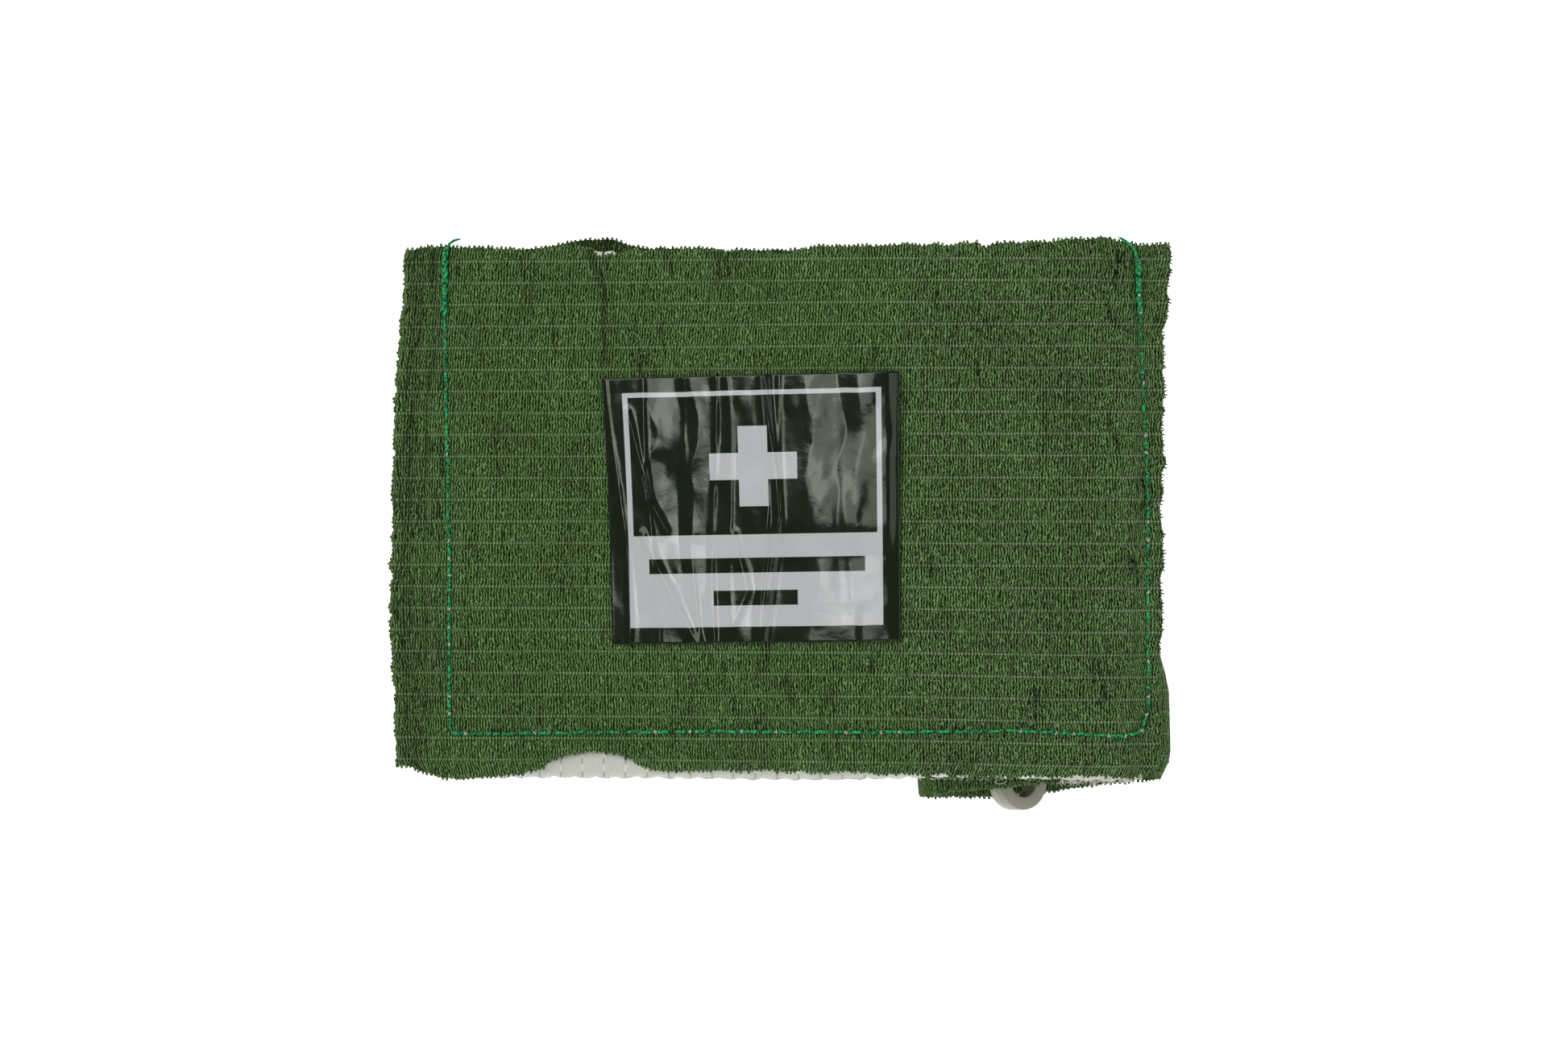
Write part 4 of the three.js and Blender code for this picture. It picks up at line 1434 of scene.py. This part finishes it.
@dataclass
class WoundPad:
    """The quilted wadding between the two layers of the wrap, and its loose fibres."""

    channel_pitch: float = 4.1
    scallop: float = 0.35
    quilting: float = 0.28
    corner: float = 1.5
    tucked: float = 0.9
    shown: float = 2.7
    shown_at: float = 36.9
    shown_half: float = 3.7
    drawn_in: float = 0.75
    drawn_at: float = 109.0
    drawn_half: float = 31.0
    edge_share: float = 0.09
    edge_rows: int = 14
    middle_rows: int = 20
    end_columns: tuple = (8, 12)
    column_step: float = 0.62
    lint: Ripple = Ripple(0.16, 0.8, 0.8, 71)
    lumps: Ripple = Ripple(0.08, 1.1, 1.1, 72)
    plies: Ripple = Ripple(0.12, 0.6, 0.6, 73)
    # Loose fibres along the lower edge: from, to, size and number
    fibre_runs: tuple = ((53.0, 67.5, 1.0, 100), (-64.0, 53.0, 0.3, 220))
    fibre_radius: float = 0.045
    tuft_fibres: int = 9
    tufts_from: float = 30.0

    def rows(self) -> Grid:
        """Returns places across the pad as shares of its half width, close together near its edges."""
        near = np.linspace(0, self.edge_share, self.edge_rows, endpoint=False)
        middle = np.linspace(self.edge_share - 1, 1 - self.edge_share, self.middle_rows)
        return np.concatenate([-1 + near, middle, (1 - near)[::-1]])

    def columns(self) -> Grid:
        """Returns places along the pad in millimetres from the fold, close together near its ends."""
        start, last = FORM.pad_from_fold - FORM.fold_radius, 139.0
        first, final = self.end_columns
        return np.concatenate([
            np.linspace(start, start + 2, first), np.arange(start + 2.5, last, self.column_step),
            np.linspace(last + 0.3, FORM.panel_length - FORM.pad_from_cut, final)])

    def build(self, material: bpy.types.Material) -> bpy.types.Object:
        """Makes the pad as one closed piece."""
        low, high = FORM.pad_low, FORM.pad_high
        half = (high - low) / 2
        row, run = self.rows()[None], self.columns()[:, None]
        share = run / FORM.panel_length
        showing = self.shown * bell((run - self.shown_at) / self.shown_half)
        hidden = np.minimum(high, FORM.upper(share) - self.tucked + showing)
        y = np.minimum((low + high) / 2 + row * half, hidden + 0.02 * row)
        y = y + self.drawn_in * bell((run - self.drawn_at) / self.drawn_half) * np.clip(-row * 10 - 9, 0, 1)
        x = FORM.fold_start(y) + (FORM.cut_edge(y) - FORM.fold_start(y)) * share
        channel = np.abs(np.sin(np.pi * run / self.channel_pitch))
        edge = half * (1 - np.abs(row))
        near = np.exp(-edge / 1.6)
        y = y + np.sign(row) * near * (self.scallop * (channel - 0.6) + self.lint.at(x, y))
        thick = FORM.pad_thickness * FORM.pad_fill(x, np.clip(y, low, high))
        end = np.minimum(run - run[0], run[-1] - run)
        fill = quarter(edge / np.minimum(self.corner, thick / 2)) * quarter(end / self.corner)
        centre = FORM.pad_under(x, y) + thick / 2
        quilt = self.quilting * (channel - 1) * ease(edge / 2) + self.lumps.at(x, y)
        plies = self.plies.at(x, y) * near
        upper = np.stack([x, y, centre + (thick / 2 + quilt) * fill + plies], 2)
        under = np.stack([x, y, centre - thick / 2 * fill - plies], 2)
        piece = MeshMaker.shell("wound_pad_quilted", upper, under, upper[..., :2] * MM)
        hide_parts("wound_pad")
        return dress(piece, material)

    def tufts(self, seam: Seam, random: np.random.Generator) -> list[Grid]:
        """Returns small tufts of wadding that the needle drew up through the wrap."""
        lines = []
        for _, (x, y), middle in seam.places():
            if middle < self.tufts_from or random.random() > 0.5:
                continue
            height = float(FORM.panel_top(x, y)) + 0.25
            for _ in range(self.tuft_fibres):
                heading = random.uniform(0, 2 * math.pi)
                reach = np.linspace(0, random.uniform(0.2, 0.5), 4)
                rise = height + 0.3 * np.sin(reach * 4)
                lines.append(np.stack([x + reach * math.cos(heading), y + reach * math.sin(heading), rise], 1))
        return lines

    def fibres(self, seam: Seam, material: bpy.types.Material) -> bpy.types.Object:
        """Makes the loose fibres along the pad's lower edge, thickest near the cut end, and the seam's tufts."""
        random = np.random.default_rng(7)
        spots = [(blend(start, end, random.random()), size)
                 for start, end, size, number in self.fibre_runs for _ in range(number)]
        share = np.linspace(0, 1, 6)
        lines = []
        for x, size in spots:
            height = float(FORM.pad_under(x, FORM.pad_low)) + random.uniform(0.6, 3.6)
            length = size * random.uniform(0.5, 1.7)
            heading = random.uniform(-1.4, 1.4) - math.pi / 2
            angle = heading + random.uniform(-2.2, 2.2) * share
            steps = np.stack([np.cos(angle), np.sin(angle), 0.4 * np.sin(angle * 3)], 1) * length / 5
            lines.append(np.cumsum(steps, axis=0) + [x, FORM.pad_low + 0.5, height])
        lines += self.strays() + self.tufts(seam, random)
        piece = MeshMaker.tubes("pad_fibres", lines, self.fibre_radius, 4, taper=0.4)
        return dress(piece, material)

    @staticmethod
    def strays() -> list[Grid]:
        """Returns the two longer stray threads: a loop on the roll and a short end on the wrap."""
        share = np.linspace(0, 1, 14)
        loop = np.stack([42.0 + np.cos(4.0 * share), -50.6 - 0.75 * np.sin(3.4 * share), 18.5 + 0 * share], 1)
        x, y = VIEW.on_panel(67.2, -47.3)
        height = float(FORM.panel_top(x, y)) + 0.4
        short = np.stack([x + 0.15 * share, y - 1.4 * share, height + 0.3 * np.sin(3 * share)], 1)
        return [loop + [0.0, 0.0, 0.05 * i] for i in range(3)] + [short, short + [0.06, 0.0, 0.02]]


@dataclass
class FilmLabel:
    """The printed film on the wrap, with its pleats and buckles."""

    columns: int = 190
    rows: int = 150
    width: float = 56.0
    length: float = 51.5
    thickness: float = 0.12
    left_bow: float = 0.35
    clear: float = 0.5
    # Its corners in the picture: upper left, upper right, lower right, lower left
    corners: tuple = ((-34.35, 27.1), (21.6, 28.5), (22.0, -22.3), (-32.4, -23.0))
    # Sharp pleats: place across at the top and at the bottom, height and half width in millimetres
    pleats: tuple = (
        (0.14, 0.155, 0.3, 0.45), (0.265, 0.3, 0.3, 0.45), (0.375, 0.36, 0.5, 0.55), (0.415, 0.43, 0.32, 0.4),
        (0.555, 0.52, 0.75, 0.6), (0.61, 0.535, 0.4, 0.5), (0.02, 0.06, 0.35, 0.5), (0.8, 0.83, 0.15, 1.2),
    )
    # Slanting creases: their line in millimetres from the film's lower left corner, height and half width
    creases: tuple = (
        (((6.5, 21.0), (10.5, 12.0), (16.5, 0.0)), 0.6, 0.8), (((4.5, 45.0), (8.0, 28.0), (11.0, 22.0)), 0.5, 0.5),
        (((31.0, 51.0), (33.0, 24.0), (29.5, 0.0)), 0.5, 0.7), (((24.0, 21.0), (26.5, 10.0), (22.0, 0.0)), 0.35, 0.9),
    )
    # Flat facets between soft folds: shares across the film and their heights in millimetres
    facet_at: tuple = (0.0, 0.15, 0.255, 0.3, 0.375, 0.42, 0.54, 0.62, 0.69, 0.795, 0.862, 0.967, 1.0)
    facet_rise: tuple = (0.1, 0.5, 0.12, 0.52, 0.14, 0.4, 0.45, 0.5, 0.6, 0.35, 0.75, 1.02, 0.85)

    def rise(self, u: Grid, v: Grid) -> Grid:
        """The film's height over the wrap that it bridges.

        Args:
            u: Shares of its width.
            v: Shares of its length.

        Returns:
            Millimetres up.
        """
        drift = 0.02 * noise(0.0, v * 5.0, 82) + 0.012 * noise(u * 5.0, v * 9.0, 85)
        facets = np.interp(u + drift, self.facet_at, self.facet_rise)
        rise = 0.1 + facets * blend(0.5, 1.0, ease((v - 0.3) / 0.15))
        rise = rise + 0.1 * noise(u * 11.0, v * 4.2, 83) + 0.03 * noise(u * 30.0, v * 19.0, 86)
        for start, end, height, half in self.pleats:
            bend = 0.012 * np.sin(5 * v + start * 9)
            off = (u - blend(end, start, v) - bend) * self.width / half
            rise = rise + height * np.exp(-np.abs(off) ** 1.5) * (0.55 + 0.45 * noise(v * 3 + start * 40, 0.0, 84))
        for line, height, half in self.creases:
            rise = rise + height * np.exp(-(from_line(u * self.width, v * self.length, line) / half) ** 1.4)
        border = np.minimum(u, 1 - u) * self.width
        return np.maximum(rise, 0.05) * blend(0.45, 1.0, ease(border / 2.4))

    def build(self, material: bpy.types.Material) -> bpy.types.Object:
        """Makes the film as a thin closed sheet over the wrap, whose finest crinkles it bridges."""
        u = np.linspace(0, 1, self.columns)[:, None]
        v = np.linspace(0, 1, self.rows)[None]
        upper_left, upper_right, lower_right, lower_left = np.array(VIEW.line(self.corners))
        top, low = (start + (end - start) * u[..., None]
                    for start, end in ((upper_left, upper_right), (lower_left, lower_right)))
        flat = low + (top - low) * v[..., None]
        x = flat[..., 0] + self.left_bow * np.sin(np.pi * v) * (1 - u)
        y = flat[..., 1] + 0.12 * noise(u * 22.0, 0.0, 81) * (np.abs(v - 0.5) * 2) ** 6
        z = FORM.panel_top(x, y) + SWELL.at(x, y) + self.clear + self.rise(u, v)
        upper = np.stack([x, y, z], 2)
        cloth = np.stack(np.broadcast_arrays(u, v), 2)
        piece = MeshMaker.shell("film_label", upper, upper - [0.0, 0.0, self.thickness], cloth)
        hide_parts("label")
        return dress(piece, material)


@dataclass
class ClosureBar:
    """The moulded bar with a hook at each end, in the roll's core."""

    rounding: float = 0.34
    bend_steps: int = 22
    far_inset: float = 2.0
    ridge: float = 0.05
    ridge_half: float = 0.13
    sharp: float = math.radians(50)

    def build(self, material: bpy.types.Material) -> bpy.types.Object:
        """Models the bar flat on the origin, then tilts it and moves it to its place."""
        bpy.ops.object.select_all(action="DESELECT")
        half_length = FORM.half_wrap + FORM.hook_reach - FORM.hook_radius
        bend = FORM.hook_radius - FORM.bar_thickness / 2
        start = (bend * MM, (FORM.hook_return - half_length) * MM, 0.0)
        bpy.ops.mesh.primitive_plane_add(size=1.0, location=start, rotation=(math.pi / 2, 0.0, 0.0))
        bar = bpy.context.object
        bar.name = "closure_bar_moulded"
        bar.scale = (FORM.bar_thickness * MM, FORM.bar_width * MM, 1.0)
        bpy.ops.object.transform_apply(location=True, rotation=True, scale=True)
        bpy.ops.object.mode_set(mode="EDIT")
        bpy.ops.mesh.select_all(action="SELECT")
        self.extrude(-FORM.hook_return)
        self.spin(-half_length)
        self.extrude(2 * half_length - self.far_inset)
        self.spin(half_length - self.far_inset)
        self.extrude(-FORM.hook_return)
        bpy.ops.mesh.select_all(action="SELECT")
        bpy.ops.mesh.remove_doubles(threshold=1e-6)
        bpy.ops.mesh.normals_make_consistent(inside=False)
        for level in (-self.ridge_half, self.ridge_half, 0.0):
            bpy.ops.mesh.select_all(action="SELECT")
            bpy.ops.mesh.bisect(plane_co=(0.0, 0.0, level * MM), plane_no=(0.0, 0.0, 1.0))
        bpy.ops.transform.shrink_fatten(value=self.ridge * MM)
        bpy.ops.object.mode_set(mode="OBJECT")
        self.finish(bar)
        self.place(bar)
        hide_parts("closure_bar")
        return dress(bar, material)

    @staticmethod
    def extrude(length: float) -> None:
        """Draws the open end out along the bar."""
        bpy.ops.mesh.extrude_region_move(TRANSFORM_OT_translate={"value": (0.0, length * MM, 0.0)})

    def spin(self, centre_y: float) -> None:
        """Turns the open end half a turn round a hook."""
        bpy.ops.mesh.spin(steps=self.bend_steps, angle=math.pi, center=(0.0, centre_y * MM, 0.0), axis=(0.0, 0.0, 1.0))

    def finish(self, bar: bpy.types.Object) -> None:
        """Rounds the bar's edges."""
        bevel = bar.modifiers.new("rounded edges", "BEVEL")
        bevel.width = self.rounding * MM
        bevel.segments = 4
        bevel.angle_limit = self.sharp
        bpy.context.view_layer.objects.active = bar
        bpy.ops.object.modifier_apply(modifier=bevel.name)
        bpy.ops.object.shade_smooth_by_angle(angle=self.sharp)

    @staticmethod
    def place(bar: bpy.types.Object) -> None:
        """Tilts the bar about its length and lays it in the roll."""
        tilt = Matrix.Rotation(FORM.bar_tilt, 4, "Y")
        shift = Matrix.Translation((FORM.bar_offset * MM, 0.0, 0.0))
        yaw = Matrix.Rotation(FORM.roll_yaw, 4, "Z")
        spot = (Vector(FORM.roll_centre) + ORIGIN) * MM
        bar.data.transform(Matrix.Translation(spot) @ yaw @ shift @ tilt)
        bar.data.update()


@dataclass
class Studio:
    """The floor, the soft lights and the camera."""

    floor_size: float = 3.0
    floor_drop: float = 0.0001
    floor_glow: float = 1.0
    world_glow: float = 0.22
    # Square softboxes that face the bandage: name, place and side in metres, power in watts
    softboxes: tuple = (
        ("key softbox", (-0.75, 0.55, 1.1), 1.0, 10.2), ("fill softbox", (0.85, -0.35, 1.0), 1.1, 4.6),
        ("low softbox", (0.05, -1.1, 0.7), 0.9, 2.2), ("side softbox", (-0.54, 0.04, 1.17), 0.3, 0.8),
    )

    def build(self) -> None:
        """Sets the stage."""
        self.floor()
        for name, place, side, power in self.softboxes:
            lamp = bpy.data.lights.new(name, "AREA")
            lamp.size, lamp.energy = side, power
            made = self.set_up(name, lamp, place)
            made.rotation_euler = (-Vector(place)).to_track_quat("-Z", "Y").to_euler()
        world = bpy.data.worlds.new("studio")
        world.use_nodes = True
        background = world.node_tree.nodes["Background"]
        background.inputs["Color"].default_value = (1.0, 1.0, 1.0, 1.0)
        background.inputs["Strength"].default_value = self.world_glow
        scene = bpy.context.scene
        scene.world = world
        scene.view_settings.view_transform = "Standard"
        lens = bpy.data.cameras.new("camera")
        lens.sensor_width = VIEW.sensor
        lens.lens = VIEW.sensor * VIEW.distance / VIEW.picture_width
        above = Vector((VIEW.centre_x, VIEW.centre_y, VIEW.level + VIEW.distance)) * MM
        scene.camera = self.set_up("camera", lens, above)

    @staticmethod
    def set_up(name: str, data: bpy.types.ID, place: Sequence[float]) -> bpy.types.Object:
        """Puts a lamp or a camera in its place and returns it."""
        made = bpy.data.objects.new(name, data)
        made.location = place
        bpy.context.scene.collection.objects.link(made)
        return made

    def floor(self) -> None:
        """Lays a plain pale floor."""
        bpy.ops.object.select_all(action="DESELECT")
        bpy.ops.mesh.primitive_plane_add(size=self.floor_size, location=(0.0, 0.0, -self.floor_drop))
        floor = bpy.context.object
        floor.name = "floor"
        material = bpy.data.materials.new("pale floor")
        material.use_nodes = True
        shader = material.node_tree.nodes["Principled BSDF"]
        shader.inputs["Base Color"].default_value = (0.9, 0.9, 0.9, 1.0)
        shader.inputs["Roughness"].default_value = 0.9
        shader.inputs["Emission Color"].default_value = (1.0, 1.0, 1.0, 1.0)
        shader.inputs["Emission Strength"].default_value = self.floor_glow
        floor.data.materials.append(material)


def main() -> None:
    """Builds the bandage's pieces in order and writes how large they are."""
    logging.basicConfig(level=logging.INFO, format="%(name)s: %(message)s")
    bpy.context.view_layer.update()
    Studio().build()
    knit = KnitFinish().make()
    panel = WrapPanel()
    pad = WoundPad()
    pad.build(PadFinish().make())
    pad.fibres(panel.seam, FibreFinish().make())
    panel_piece = panel.build(knit)
    ClosureBar().build(PlasticFinish().make())
    tail = WrapTail()
    tail_middle = tail.middle()
    tail.build(tail_middle, knit)
    SelvedgeLoops().build(panel, panel_piece, tail_middle, LoopFinish().make())
    panel.seam.build(panel, ThreadFinish().make())
    FilmLabel().build(PrintFinish().make())


if __name__ == "__main__":
    main()
